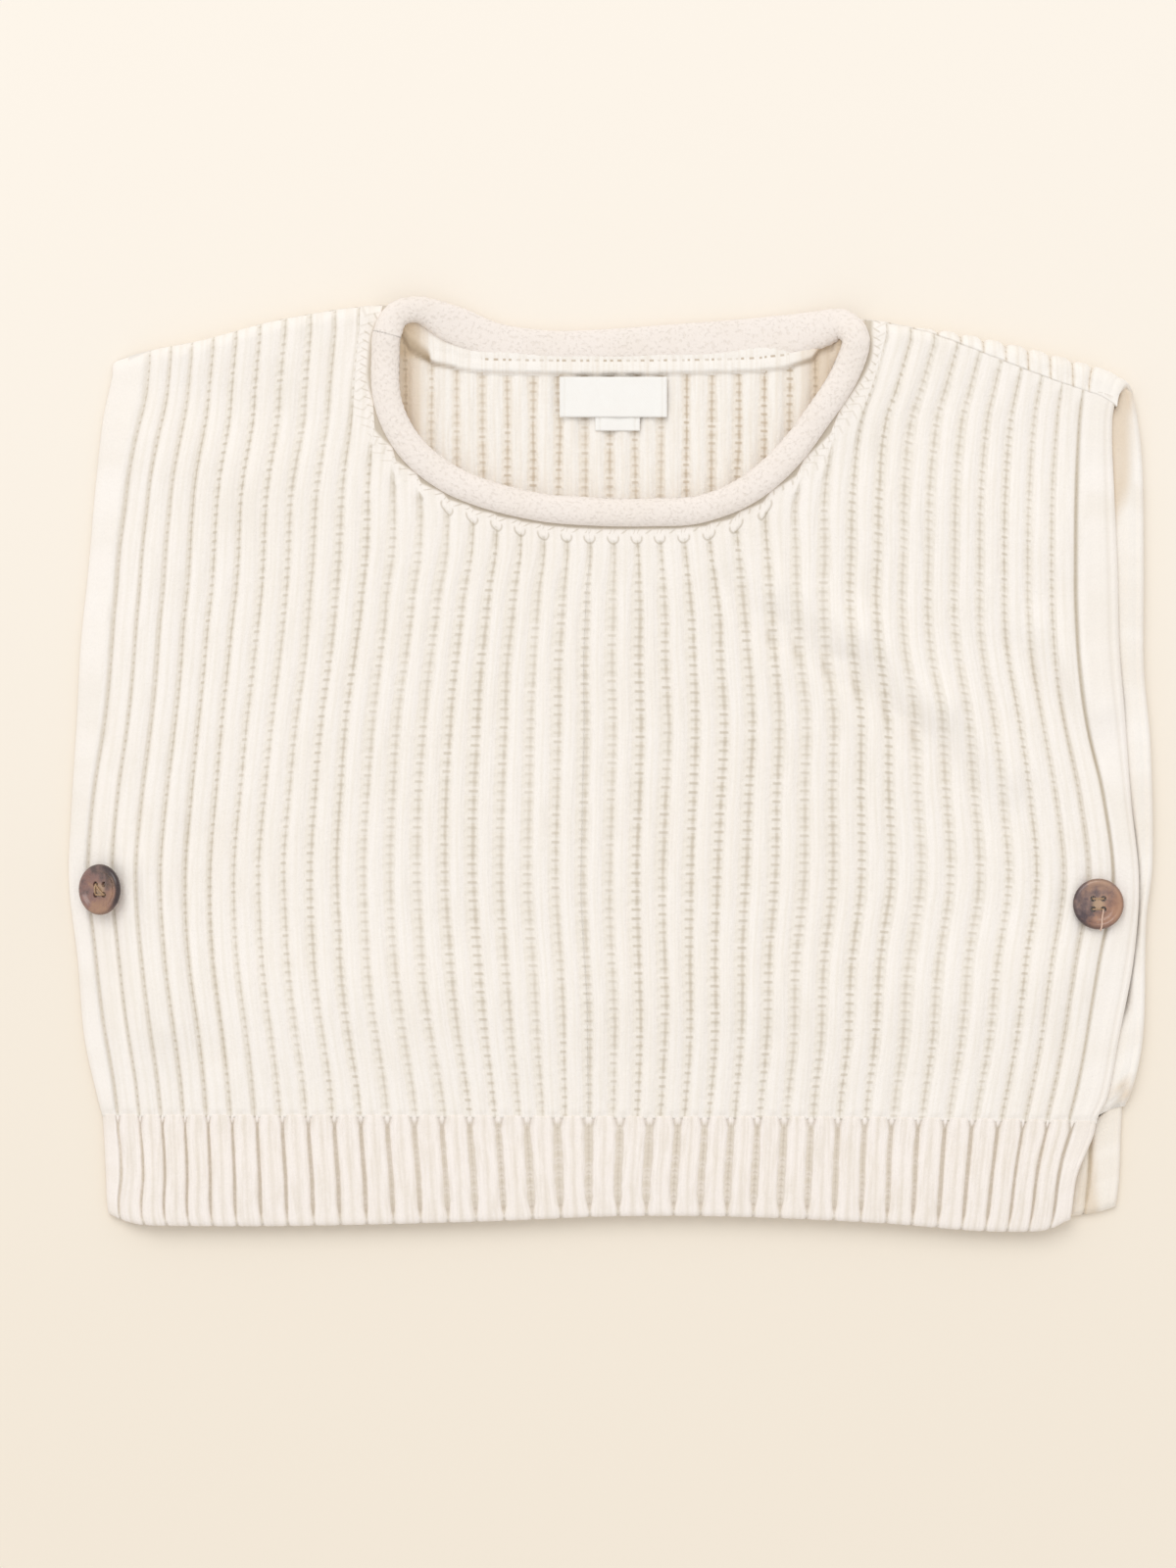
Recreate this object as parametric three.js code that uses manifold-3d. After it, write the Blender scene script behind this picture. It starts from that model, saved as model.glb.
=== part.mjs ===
import * as THREE from 'three';
import { mergeVertices } from 'three/addons/utils/BufferGeometryUtils.js';
import Module from 'manifold-3d';

// A sleeveless baby sweater in chunky half-cardigan rib, laid flat with its front up.
// The sides are open: one button on each side holds the front and back panels together.
// Millimetres. +X to the right as it lies, +Y towards the neck, +Z up from the surface.

const wasm = await Module();
wasm.setup();

// ---- driving dimensions -------------------------------------------------------------
const SEAM_GAP = 0.3; // between neighbouring pieces
const CLOTH = 2.2; // knitted wall in the bottom of a groove
const BODY_RIB = 1.7; // height of a body rib over the grooves
const CORD_VALLEY = 0.7; // part of a rib's height between its two cords
const HEM_RIB = 1.2; // height of a hem rib over its grooves
const BACK_TOP = CLOTH + BODY_RIB; // highest the back panel reaches
const FRONT_FLOOR = BACK_TOP + SEAM_GAP; // lowest the front panel may lie over the back
const REST_LIFT = 1.2; // air that the springy knit keeps under the front
const FOLD_REACH = 4.6; // how far the shoulder fold rounds forward in plan
const FOLD_WALL = 3.2; // cloth thickness as it goes round that fold
const QUARTER_FOLD = 7; // cloth length in a quarter turn of the fold
const SEAM_TRIM = 0.3; // each panel stops this short of the shoulder seam
const SEAM_RISE = 0.55; // part of a rib's height that is left at the shoulder seam
const FLAT_END = 5; // length of the last rows of a panel where it has no fold
const EDGE_ROLL_WIDTH = 20; // the left edge of the front rolls down over this width
const EDGE_FLOOR = 0.4; // to this height, where its underside nearly rests
const NECK_RADIUS = 4.5; // rolled neckband, half its height
const BODY_GROOVES = 39;
const HEM_GROOVES = 37;
const BUTTON_RADIUS = 8.3;
const BUTTON_HOLE_RADIUS = 0.95;
const BUTTON_HOLE_OFFSET = 1.7;
const LABEL = { left: -17, right: 18.2, bottom: 114.2, top: 127.4, thick: 0.5 };
const SIZE_LABEL = { left: -5.4, right: 9.3, bottom: 109.8, top: 119, thick: 0.4 };

// Front panel, a row for each height: its edges and the 1st, 10th, 20th, 30th and 39th groove.
const FRONT_BODY = [
  { y: -115.0, left: -166.8, a: -160.6, b: -91.0, c: -7.7, d: 74.4, e: 149.6, right: 158.8 },
  { y: -108.2, left: -168.6, a: -161.9, b: -91.8, c: -7.7, d: 74.9, e: 151.0, right: 162.2 },
  { y: -89.0, left: -172.8, a: -165.1, b: -94.4, c: -8.3, d: 76.8, e: 154.6, right: 165.8 },
  { y: -63.4, left: -175.0, a: -168.6, b: -97.9, c: -8.6, d: 77.4, e: 158.1, right: 170.6 },
  { y: -37.8, left: -177.9, a: -170.9, b: -98.9, c: -9.9, d: 80.6, e: 162.5, right: 172.4 },
  { y: -12.2, left: -177.0, a: -169.4, b: -98.2, c: -9.6, d: 81.0, e: 160.0, right: 169.9 },
  { y: 13.4, left: -175.4, a: -166.1, b: -96.3, c: -9.0, d: 80.6, e: 155.5, right: 168.0 },
  { y: 39.0, left: -174.1, a: -163.5, b: -92.8, c: -9.3, d: 78.1, e: 152.0, right: 165.8 },
  { y: 64.6, left: -171.5, a: -161.6, b: -89.6, c: -8.0, d: 78.1, e: 151.4, right: 165.4 },
  { y: 90.2, left: -169.3, a: -158.4, b: -88.6, c: -8.0, d: 78.7, e: 151.7, right: 165.1 },
  { y: 115.8, left: -166.4, a: -153.0, b: -85.4, c: -7.0, d: 81.9, e: 152.6, right: 165.0 },
  { y: 133.0, left: -162.0, a: -151.0, b: -84.0, c: -6.0, d: 83.0, e: 154.0, right: 166.0 },
];
// Front hem: its edges and the 1st, 10th, 19th, 28th and 37th groove.
const FRONT_HEM = [
  { y: -152.0, left: -161.5, a: -157.0, b: -87.2, c: -5.2, d: 73.4, e: 143.0, right: 148.4 },
  { y: -146.6, left: -163.8, a: -159.2, b: -87.7, c: -5.4, d: 73.6, e: 144.3, right: 149.8 },
  { y: -133.8, left: -165.8, a: -160.6, b: -88.8, c: -6.6, d: 73.6, e: 146.4, right: 152.3 },
  { y: -121.0, left: -166.4, a: -161.2, b: -89.8, c: -7.6, d: 73.6, e: 149.2, right: 157.6 },
  { y: -115.0, left: -166.8, a: -161.3, b: -90.0, c: -7.7, d: 73.7, e: 150.2, right: 158.8 },
];
// Back panel and back hem: their edges. The grooves between them are evenly spread.
const BACK_BODY = [
  { y: -114.6, left: -149.0, right: 166.2 },
  { y: -108.2, left: -150.6, right: 169.9 },
  { y: -89.0, left: -154.8, right: 174.1 },
  { y: -50.6, left: -158.4, right: 175.2 },
  { y: -31.4, left: -160.0, right: 177.3 },
  { y: 7.0, left: -158.4, right: 176.6 },
  { y: 32.6, left: -156.6, right: 174.4 },
  { y: 64.6, left: -154.0, right: 173.8 },
  { y: 103.0, left: -150.4, right: 172.8 },
  { y: 127.0, left: -146.0, right: 169.6 },
];
const BACK_HEM = [
  { y: -147.5, left: -146.4, right: 163.4 },
  { y: -133.8, left: -148.4, right: 164.8 },
  { y: -121.0, left: -148.8, right: 165.4 },
  { y: -114.6, left: -149.2, right: 166.2 },
];
const BACK_BAND = { left: 9, right: 12 }; // plain edge bands of the back panel
const BACK_HEM_BAND = { left: 6, right: 7.7 };

// Where each hem meets its body panel, and the hems' lower edges.
const JUNCTION = [{ x: -170, y: -113.6 }, { x: 0, y: -114.2 }, { x: 165, y: -116.8 }];
const FRONT_HEM_EDGE = [
  { x: -164, y: -147.2 },
  { x: -152, y: -149.8 },
  { x: -104, y: -150.1 },
  { x: -40, y: -148.8 },
  { x: 0, y: -147.2 },
  { x: 40, y: -147.3 },
  { x: 88, y: -149.4 },
  { x: 120, y: -151.9 },
  { x: 143, y: -152.3 },
  { x: 149, y: -150.6 },
];
const BACK_HEM_EDGE = [
  { x: -152, y: -143.5 },
  { x: 0, y: -144.5 },
  { x: 100, y: -146.5 },
  { x: 150, y: -147.4 },
  { x: 163, y: -143.4 },
];

// Shoulder line: where the cloth folds to the back, and how much of the back's cloth comes
// forward from the fold's outermost line to the seam.
const SHOULDER = [
  { x: -166, fold: 131.6, seam: 0 },
  { x: -151, fold: 136.0, seam: 0 },
  { x: -134, fold: 139.4, seam: 0 },
  { x: -107, fold: 146.4, seam: 0 },
  { x: -71, fold: 151.0, seam: 0 },
  { x: 83, fold: 146.2, seam: 0 },
  { x: 98, fold: 143.8, seam: 4 },
  { x: 113, fold: 141.7, seam: 7.4 },
  { x: 137, fold: 136.5, seam: 11.3 },
  { x: 153, fold: 132.2, seam: 12.8 },
  { x: 163, fold: 129.6, seam: 13.8 },
  { x: 172, fold: 124.6, seam: 14.6 },
  { x: 178, fold: 120.0, seam: 14.8 },
];

// Folds of the front, each a soft ridge (rise over 0) or trough (under 0) along a line.
const FOLDS = [
  { x1: 37, y1: 58, x2: 72, y2: 32, wide: 9, rise: -1.2 },
  { x1: 72, y1: 32, x2: 108, y2: 1, wide: 8, rise: -1.2 },
  { x1: 108, y1: 1, x2: 127, y2: -15, wide: 10, rise: -0.9 },
  { x1: 48, y1: 66, x2: 82, y2: 44, wide: 9, rise: 1.4 },
  { x1: 84, y1: 42, x2: 116, y2: 12, wide: 9, rise: 2.4 },
  { x1: 136, y1: 30, x2: 157, y2: -2, wide: 8, rise: -1 },
  { x1: 146, y1: 36, x2: 160, y2: 14, wide: 7, rise: 1.1 },
  { x1: -139, y1: -38, x2: -132, y2: -95, wide: 9, rise: -1.1 },
  { x1: -154, y1: -34, x2: -150, y2: -84, wide: 9, rise: 2.4 },
  { x1: 146, y1: -89, x2: 146, y2: -92, wide: 13, rise: -1.1 },
  { x1: -140, y1: 122, x2: -96, y2: 110, wide: 12, rise: -1 },
  { x1: 132, y1: 102, x2: 142, y2: 96, wide: 14, rise: -0.9 },
  { x1: -30, y1: -20, x2: 40, y2: -60, wide: 34, rise: 0.9 },
  { x1: -148, y1: 70, x2: -154, y2: -20, wide: 12, rise: 1.2 },
];

// Edge of the front neck, where the neckband is linked on, and the same edge of the back.
const FRONT_NECK = [
  { x: -78.6, y: 165 },
  { x: -78.8, y: 140 },
  { x: -78.9, y: 124 },
  { x: -73.4, y: 106 },
  { x: -55.6, y: 89.4 },
  { x: -27, y: 80 },
  { x: 5, y: 77.8 },
  { x: 36, y: 80.4 },
  { x: 57, y: 93.6 },
  { x: 72, y: 112 },
  { x: 83, y: 131 },
  { x: 84.8, y: 144 },
  { x: 84.8, y: 165 },
];
const BACK_NECK = [
  { x: -82, y: 165 },
  { x: -82, y: 137 },
  { x: -60, y: 136.6 },
  { x: -46, y: 133.4 },
  { x: -30, y: 132.6 },
  { x: 56, y: 132.6 },
  { x: 76, y: 136 },
  { x: 88, y: 137 },
  { x: 88, y: 165 },
];
// Centre of the rolled neckband, clockwise from the left shoulder, and its half width in plan.
const FRONT_ROLL_HEIGHT = FRONT_FLOOR + NECK_RADIUS + 0.4;
const BACK_ROLL_HEIGHT = NECK_RADIUS + 0.1;
const NECKBAND = [
  { x: -73.2, y: 141, z: FRONT_ROLL_HEIGHT, half: 4.6 },
  { x: -70, y: 146.8, z: FRONT_ROLL_HEIGHT - 0.8, half: 4.6 },
  { x: -63.6, y: 148.2, z: 6.4, half: 5 },
  { x: -52, y: 144.4, z: 5.2, half: 6 },
  { x: -38, y: 139.4, z: BACK_ROLL_HEIGHT, half: 5.4 },
  { x: -19, y: 137.8, z: BACK_ROLL_HEIGHT, half: 4.8 },
  { x: 29, y: 139.2, z: BACK_ROLL_HEIGHT, half: 6.1 },
  { x: 56, y: 141.2, z: BACK_ROLL_HEIGHT, half: 6.4 },
  { x: 67, y: 143.4, z: 5.4, half: 5.6 },
  { x: 75.6, y: 144.4, z: 7.4, half: 4.8 },
  { x: 79.6, y: 139.6, z: FRONT_ROLL_HEIGHT, half: 4.6 },
];

// ---- small helpers ------------------------------------------------------------------

// A smooth curve through one column of a table, level past its ends.
function follow(rows, along, at, column) {
  const last = rows.length - 1;
  if (at <= rows[0][along]) return rows[0][column];
  if (at >= rows[last][along]) return rows[last][column];
  let i = 0;
  while (rows[i + 1][along] < at) i++;
  const slope = (j) => {
    const before = rows[Math.max(0, j - 1)];
    const after = rows[Math.min(last, j + 1)];
    return (after[column] - before[column]) / (after[along] - before[along]);
  };
  const span = rows[i + 1][along] - rows[i][along];
  const t = (at - rows[i][along]) / span;
  const t2 = t * t;
  const t3 = t2 * t;
  return (2 * t3 - 3 * t2 + 1) * rows[i][column]
    + (t3 - 2 * t2 + t) * span * slope(i)
    + (3 * t2 - 2 * t3) * rows[i + 1][column]
    + (t3 - t2) * span * slope(i + 1);
}

function mix(a, b, t) {
  return a + (b - a) * t;
}

function clamp01(t) {
  return Math.min(1, Math.max(0, t));
}

function distanceToLine(x, y, line) {
  const dx = line.x2 - line.x1;
  const dy = line.y2 - line.y1;
  const t = clamp01(((x - line.x1) * dx + (y - line.y1) * dy) / (dx * dx + dy * dy));
  return Math.hypot(x - line.x1 - dx * t, y - line.y1 - dy * t);
}

// ---- where the ribs run -------------------------------------------------------------

// The x of place g across a panel: 0 and grooves + 1 are its edges, the grooves lie between.
function acrossTable(table, grooves) {
  const quarter = Math.floor((grooves - 1) / 4);
  const marks = [1, 1 + quarter, (grooves + 1) / 2, grooves - quarter, grooves];
  const names = ['a', 'b', 'c', 'd', 'e'];
  return (g, y) => {
    const row = names.map((name, i) => ({ at: marks[i], x: follow(table, 'y', y, name) }));
    if (g < 1) return mix(follow(table, 'y', y, 'left'), row[0].x, g);
    if (g > grooves) return mix(row[4].x, follow(table, 'y', y, 'right'), g - grooves);
    return follow(row, 'at', g, 'x');
  };
}

function acrossEven(table, grooves, band) {
  return (g, y) => {
    const left = follow(table, 'y', y, 'left');
    const right = follow(table, 'y', y, 'right');
    if (g < 1) return left + band.left * g;
    if (g > grooves) return right - band.right * (grooves + 1 - g);
    return mix(left + band.left, right - band.right, (g - 1) / (grooves - 1));
  };
}

// Places across a ribbed face, with the part of a rib's height that each one has. A body
// rib is two cords side by side with a shallow valley between them; a hem rib has none.
function ribPlaces(grooves, crest, valley) {
  const places = [{ g: 0, rise: 0.1 }, { g: 0.3, rise: 0.55 }, { g: 0.7, rise: 0.55 }];
  for (let k = 1; k < grooves; k++) {
    places.push({ g: k, rise: 0 });
    places.push({ g: k + crest, rise: 1 });
    if (valley < 1) places.push({ g: k + 0.5, rise: valley });
    places.push({ g: k + 1 - crest, rise: 1 });
  }
  const lastBand = [[0, 0], [0.16, 0.6], [0.7, 0.55], [0.78, 0.3], [0.86, 0.65], [1, 0.1]];
  for (const [step, rise] of lastBand) places.push({ g: grooves + step, rise });
  return places;
}

// Places across a plain face: close together at the left, where it rolls, then every other groove.
function plainPlaces(grooves) {
  const places = [0, 0.5, 1, 1.5, 2];
  for (let k = 3; k <= grooves; k += 2) places.push(k);
  places.push(grooves + 1);
  return places.map((g) => ({ g, rise: 0 }));
}

// ---- walls --------------------------------------------------------------------------

// Triangles between two rows of points that run the same way, whatever their numbers.
function strip(lower, upper, triangles) {
  let i = 0;
  let j = 0;
  while (i < lower.length - 1 || j < upper.length - 1) {
    const canLower = i < lower.length - 1;
    const canUpper = j < upper.length - 1;
    if (canLower && (!canUpper || lower[i + 1].t <= upper[j + 1].t)) {
      triangles.push(lower[i].id, lower[i + 1].id, upper[j].id);
      i++;
    } else {
      triangles.push(lower[i].id, upper[j + 1].id, upper[j].id);
      j++;
    }
  }
}

// A closed wall between an upper and a lower face. A face is rows of { t, p }, each row
// with its own v, running from the hem side to the neck side.
function wall(upperFace, lowerFace) {
  const positions = [];
  const triangles = [];
  for (const face of [upperFace, lowerFace]) {
    for (const row of face) {
      for (const point of row.points) {
        point.id = positions.length / 3;
        positions.push(...point.p);
      }
    }
  }
  for (let r = 0; r + 1 < upperFace.length; r++) {
    strip(upperFace[r].points, upperFace[r + 1].points, triangles);
  }
  for (let r = 0; r + 1 < lowerFace.length; r++) {
    strip(lowerFace[r + 1].points, lowerFace[r].points, triangles);
  }
  const side = (face, pick) => face.map((row) => ({ t: row.v, id: pick(row.points).id }));
  const first = (points) => points[0];
  const last = (points) => points[points.length - 1];
  strip(lowerFace[0].points, upperFace[0].points, triangles);
  strip(last(upperFace).points, last(lowerFace).points, triangles);
  strip(side(upperFace, first), side(lowerFace, first), triangles);
  strip(side(lowerFace, last), side(upperFace, last), triangles);
  const geometry = new THREE.BufferGeometry();
  geometry.setAttribute('position', new THREE.Float32BufferAttribute(positions, 3));
  geometry.setIndex(triangles);
  return geometry;
}

function face(heights, placesAt, point) {
  return heights.map((v) => ({
    v,
    points: placesAt(v).map((place) => ({ t: place.g, p: point(place, v) })),
  }));
}

// ---- how the front lies -------------------------------------------------------------

function frontLift(x, y) {
  let lift = REST_LIFT;
  for (const fold of FOLDS) {
    const away = distanceToLine(x, y, fold) / fold.wide;
    lift += fold.rise * Math.exp(-away * away);
  }
  return Math.max(0, lift);
}

// How far a height over the surface is kept, from 0 at the left edge to 1 past its roll.
function edgeRoll(x, leftEdge) {
  const inside = clamp01((x - leftEdge) / EDGE_ROLL_WIDTH);
  return inside * inside * (3 - 2 * inside);
}

// Height of the front's underside, rolled down along the left edge.
function frontUnderside(x, y, leftEdge) {
  return mix(EDGE_FLOOR, FRONT_FLOOR + frontLift(x, y), edgeRoll(x, leftEdge));
}

// ---- the shoulder fold --------------------------------------------------------------

// One column of a panel: its length of cloth, and where the fold and the seam lie on it.
function shoulderColumn(across, g, fromBack) {
  let y = 140;
  for (let i = 0; i < 4; i++) y = follow(SHOULDER, 'x', across(g, y), 'fold');
  const x = across(g, y);
  const foldStart = follow(SHOULDER, 'x', x, 'fold') - FOLD_REACH;
  const seam = Math.max(0, follow(SHOULDER, 'x', x, 'seam'));
  const turn = clamp01(1 - seam / QUARTER_FOLD);
  const run = Math.max(0, seam - QUARTER_FOLD);
  const start = follow(JUNCTION, 'x', x, 'y') + SEAM_GAP / 2;
  const flat = foldStart - start;
  if (fromBack) {
    const end = QUARTER_FOLD * (2 - turn) + run - SEAM_TRIM;
    return { start, foldStart, flat, end };
  }
  const total = flat + QUARTER_FOLD * turn - run - SEAM_TRIM;
  const end = Math.max(QUARTER_FOLD * turn - SEAM_TRIM, FLAT_END);
  return { start, foldStart, flat: total - end, end, straight: flat };
}

// v from 0 to 1 runs up the flat of a panel, and from 1 to 2 through its last stretch.
function clothDistance(column, v) {
  return v <= 1 ? column.flat * v : column.flat + column.end * (v - 1);
}

const FRONT_ACROSS = acrossTable(FRONT_BODY, BODY_GROOVES);
const HEM_ACROSS = acrossTable(FRONT_HEM, HEM_GROOVES);
const BACK_ACROSS = acrossEven(BACK_BODY, BODY_GROOVES, BACK_BAND);
const BACK_HEM_ACROSS = acrossEven(BACK_HEM, HEM_GROOVES, BACK_HEM_BAND);

function frontPoint(place, v, thickness) {
  const column = shoulderColumn(FRONT_ACROSS, place.g, false);
  const distance = clothDistance(column, v);
  const flatY = column.start + Math.min(distance, column.straight);
  const angle = Math.max(0, distance - column.straight) / QUARTER_FOLD * Math.PI / 2;
  const x = FRONT_ACROSS(place.g, flatY);
  const leftEdge = follow(FRONT_BODY, 'y', flatY, 'left');
  const under = frontUnderside(x, flatY, leftEdge);
  const foldFloor = Math.min(FRONT_FLOOR, under);
  const reach = thickness > 0 ? FOLD_REACH : FOLD_REACH - FOLD_WALL;
  const z = foldFloor + (under + thickness - foldFloor) * Math.cos(angle);
  return [x, flatY + reach * Math.sin(angle), z];
}

// Ribs are pressed to one height where the shoulder seam holds them.
function seamRise(rise, beforeEnd) {
  return mix(SEAM_RISE, rise, clamp01(beforeEnd * 3));
}

function frontBody() {
  const steps = 13;
  const heights = [];
  for (let i = 0; i <= steps; i++) heights.push(i / steps);
  const foldHeights = [1.34, 1.67, 2];
  const ribs = ribPlaces(BODY_GROOVES, 0.26, CORD_VALLEY);
  const plain = plainPlaces(BODY_GROOVES);
  const upper = face([...heights, ...foldHeights], () => ribs, (place, v) => {
    return frontPoint(place, v, CLOTH + BODY_RIB * seamRise(place.rise, 2 - v));
  });
  const lowerHeights = heights.filter((v, i) => i % 2 === 0 || i === steps);
  const lower = face([...lowerHeights, ...foldHeights], () => plain, (place, v) => (
    frontPoint(place, v, 0)
  ));
  return wall(upper, lower);
}

// The back lies flat, turns up round the shoulder and, on the right, lies over the front.
// side is 1 on the face that shows inside the neck and 0 on the face that rests.
function backPoint(place, v, side, rise) {
  const column = shoulderColumn(BACK_ACROSS, place.g, true);
  const distance = clothDistance(column, v);
  const pastFlat = Math.max(0, distance - column.flat);
  const angle = Math.min(pastFlat / QUARTER_FOLD, 2) * Math.PI / 2;
  const run = Math.max(0, pastFlat - 2 * QUARTER_FOLD);
  const y = column.start + Math.min(distance, column.flat);
  const x = BACK_ACROSS(place.g, y);
  const reach = side ? FOLD_REACH - FOLD_WALL : FOLD_REACH;
  const top = FRONT_FLOOR + frontLift(x, y) + (side ? 0 : CLOTH + rise);
  const bottom = side ? CLOTH + rise : 0;
  const z = angle <= Math.PI / 2
    ? BACK_TOP - (BACK_TOP - bottom) * Math.cos(angle)
    : BACK_TOP - (top - BACK_TOP) * Math.cos(angle);
  return [x, y + reach * Math.sin(angle) - run, z];
}

function backBody() {
  const steps = 9;
  const heights = [];
  for (let i = 0; i <= steps; i++) heights.push(i / steps);
  const foldHeights = [1.17, 1.34, 1.5, 1.67, 1.84, 2];
  const ribs = ribPlaces(BODY_GROOVES, 0.26, CORD_VALLEY);
  const plain = plainPlaces(BODY_GROOVES);
  const wrapFrom = 30;
  const wrapped = plain.filter((place) => place.g < wrapFrom)
    .concat(ribs.filter((place) => place.g >= wrapFrom));
  const upper = face([...heights, ...foldHeights], (v) => (v <= 1 ? ribs : plain), (place, v) => (
    backPoint(place, v, 1, v <= 1 ? BODY_RIB * place.rise * Math.min(1, (1 - v) * 12) : 0)
  ));
  const lowerHeights = heights.filter((v, i) => i % 2 === 0 || i === steps);
  const lower = face([...lowerHeights, ...foldHeights], (v) => (v > 1.5 ? wrapped : plain), (place, v) => (
    backPoint(place, v, 0, v > 1.5 ? BODY_RIB * seamRise(place.rise, 2 - v) : 0)
  ));
  return wall(upper, lower);
}

// ---- hems ---------------------------------------------------------------------------

function hem(across, edge, height) {
  const rows = [0, 0.1, 0.55, 1];
  const ribs = ribPlaces(HEM_GROOVES, 0.2, 1);
  const plain = plainPlaces(HEM_GROOVES);
  const lay = (place, v, thickness) => {
    const middleX = across(place.g, -132);
    const low = follow(edge, 'x', across(place.g, -147), 'y');
    const high = follow(JUNCTION, 'x', middleX, 'y') - SEAM_GAP / 2;
    const y = mix(low, high, v);
    const x = across(place.g, y);
    return [x, y, height(x, y, v) + thickness];
  };
  const upper = face(rows, () => ribs, (place, v) => (
    lay(place, v, CLOTH + HEM_RIB * place.rise * (v === 0 ? 0.5 : 1))
  ));
  const lower = face([0, 0.55, 1], () => plain, (place, v) => lay(place, v, 0));
  return wall(upper, lower);
}

function frontHemHeight(x, y, v) {
  const leftEdge = follow(FRONT_HEM, 'y', y, 'left');
  const under = frontUnderside(x, y, leftEdge);
  return mix(Math.min(FRONT_FLOOR, under), under, clamp01(v / 0.55));
}

// ---- solids for cutting -------------------------------------------------------------

function closedMesh(geometry) {
  geometry.deleteAttribute('normal');
  geometry.deleteAttribute('uv');
  const merged = mergeVertices(geometry, 1e-4);
  const index = merged.index.array;
  const kept = [];
  for (let i = 0; i < index.length; i += 3) {
    const [a, b, c] = [index[i], index[i + 1], index[i + 2]];
    if (a !== b && b !== c && c !== a) kept.push(a, b, c);
  }
  merged.setIndex(kept);
  return merged;
}

function toSolid(geometry) {
  const merged = closedMesh(geometry);
  return new wasm.Manifold(new wasm.Mesh({
    numProp: 3,
    vertProperties: new Float32Array(merged.attributes.position.array),
    triVerts: new Uint32Array(merged.index.array),
  }));
}

function toGeometry(solid) {
  const mesh = solid.getMesh();
  const geometry = new THREE.BufferGeometry();
  geometry.setAttribute('position', new THREE.Float32BufferAttribute(mesh.vertProperties, 3));
  geometry.setIndex(Array.from(mesh.triVerts));
  return geometry;
}

// An upright cutter whose outline is a smooth curve through the neck's points.
function neckCutter(outline, steps) {
  const curve = new THREE.CatmullRomCurve3(
    outline.map((p) => new THREE.Vector3(p.x, p.y, 0)),
    false,
    'centripetal',
  );
  const shape = new THREE.Shape(curve.getPoints(steps).map((p) => new THREE.Vector2(p.x, p.y)));
  const cutter = new THREE.ExtrudeGeometry(shape, { depth: 40, bevelEnabled: false });
  cutter.translate(0, 0, -10);
  return toSolid(cutter);
}

// ---- neckband -----------------------------------------------------------------------

// The front of the band keeps its radius and a seam's gap inside the edge of the front neck.
function frontRollCentres() {
  const edge = new THREE.CatmullRomCurve3(
    FRONT_NECK.slice(1, -1).map((p) => new THREE.Vector3(p.x, p.y, 0)),
    false,
    'centripetal',
  );
  const centres = [];
  const steps = 14;
  for (let i = 1; i < steps; i++) {
    const at = edge.getPointAt(i / steps);
    const along = edge.getTangentAt(i / steps);
    const inward = NECK_RADIUS + SEAM_GAP + 0.2;
    centres.push({
      x: at.x - along.y * inward,
      y: at.y + along.x * inward,
      z: FRONT_ROLL_HEIGHT,
      half: NECK_RADIUS,
    });
  }
  return centres.reverse();
}

function neckband() {
  const centres = [...NECKBAND, ...frontRollCentres()];
  const path = new THREE.CatmullRomCurve3(
    centres.map((p) => new THREE.Vector3(p.x, p.y, p.z)),
    true,
    'centripetal',
  );
  const widths = new THREE.CatmullRomCurve3(
    centres.map((p) => new THREE.Vector3(p.half, 0, 0)),
    true,
    'catmullrom',
    0.5,
  );
  const stations = centres.length * 2;
  const sides = 10;
  const positions = [];
  const triangles = [];
  for (let s = 0; s < stations; s++) {
    const t = s / stations;
    const centre = path.getPoint(t);
    const along = path.getTangent(t);
    const half = widths.getPoint(t).x;
    const across = new THREE.Vector3(along.y, -along.x, 0).normalize();
    const up = new THREE.Vector3().crossVectors(across, along).normalize();
    for (let k = 0; k < sides; k++) {
      const turn = (k + 0.5) / sides * Math.PI * 2;
      const point = centre.clone()
        .addScaledVector(across, half * Math.cos(turn))
        .addScaledVector(up, NECK_RADIUS * Math.sin(turn));
      positions.push(point.x, point.y, point.z);
      const a = s * sides + k;
      const b = s * sides + (k + 1) % sides;
      const c = ((s + 1) % stations) * sides + (k + 1) % sides;
      const d = ((s + 1) % stations) * sides + k;
      triangles.push(a, c, b, a, d, c);
    }
  }
  const geometry = new THREE.BufferGeometry();
  geometry.setAttribute('position', new THREE.Float32BufferAttribute(positions, 3));
  geometry.setIndex(triangles);
  return geometry;
}

// ---- buttons ------------------------------------------------------------------------

function button() {
  const rim = [[6.4, 0], [8, 0.9], [BUTTON_RADIUS, 1.7], [7.9, 2.7], [7, 3], [6.2, 2.7], [5.2, 2]];
  const outline = [[0, 0], ...rim, [0, 1.8]];
  const points = outline.map(([r, z]) => new THREE.Vector2(r, z));
  const disc = new THREE.LatheGeometry(points, 28);
  disc.rotateX(Math.PI / 2);
  let solid = toSolid(disc);
  for (const sx of [-1, 1]) {
    for (const sy of [-1, 1]) {
      const drill = new THREE.CylinderGeometry(BUTTON_HOLE_RADIUS, BUTTON_HOLE_RADIUS, 12, 10);
      drill.rotateX(Math.PI / 2);
      drill.translate(sx * BUTTON_HOLE_OFFSET, sy * BUTTON_HOLE_OFFSET, 1);
      solid = solid.subtract(toSolid(drill));
    }
  }
  return toGeometry(solid);
}

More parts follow.
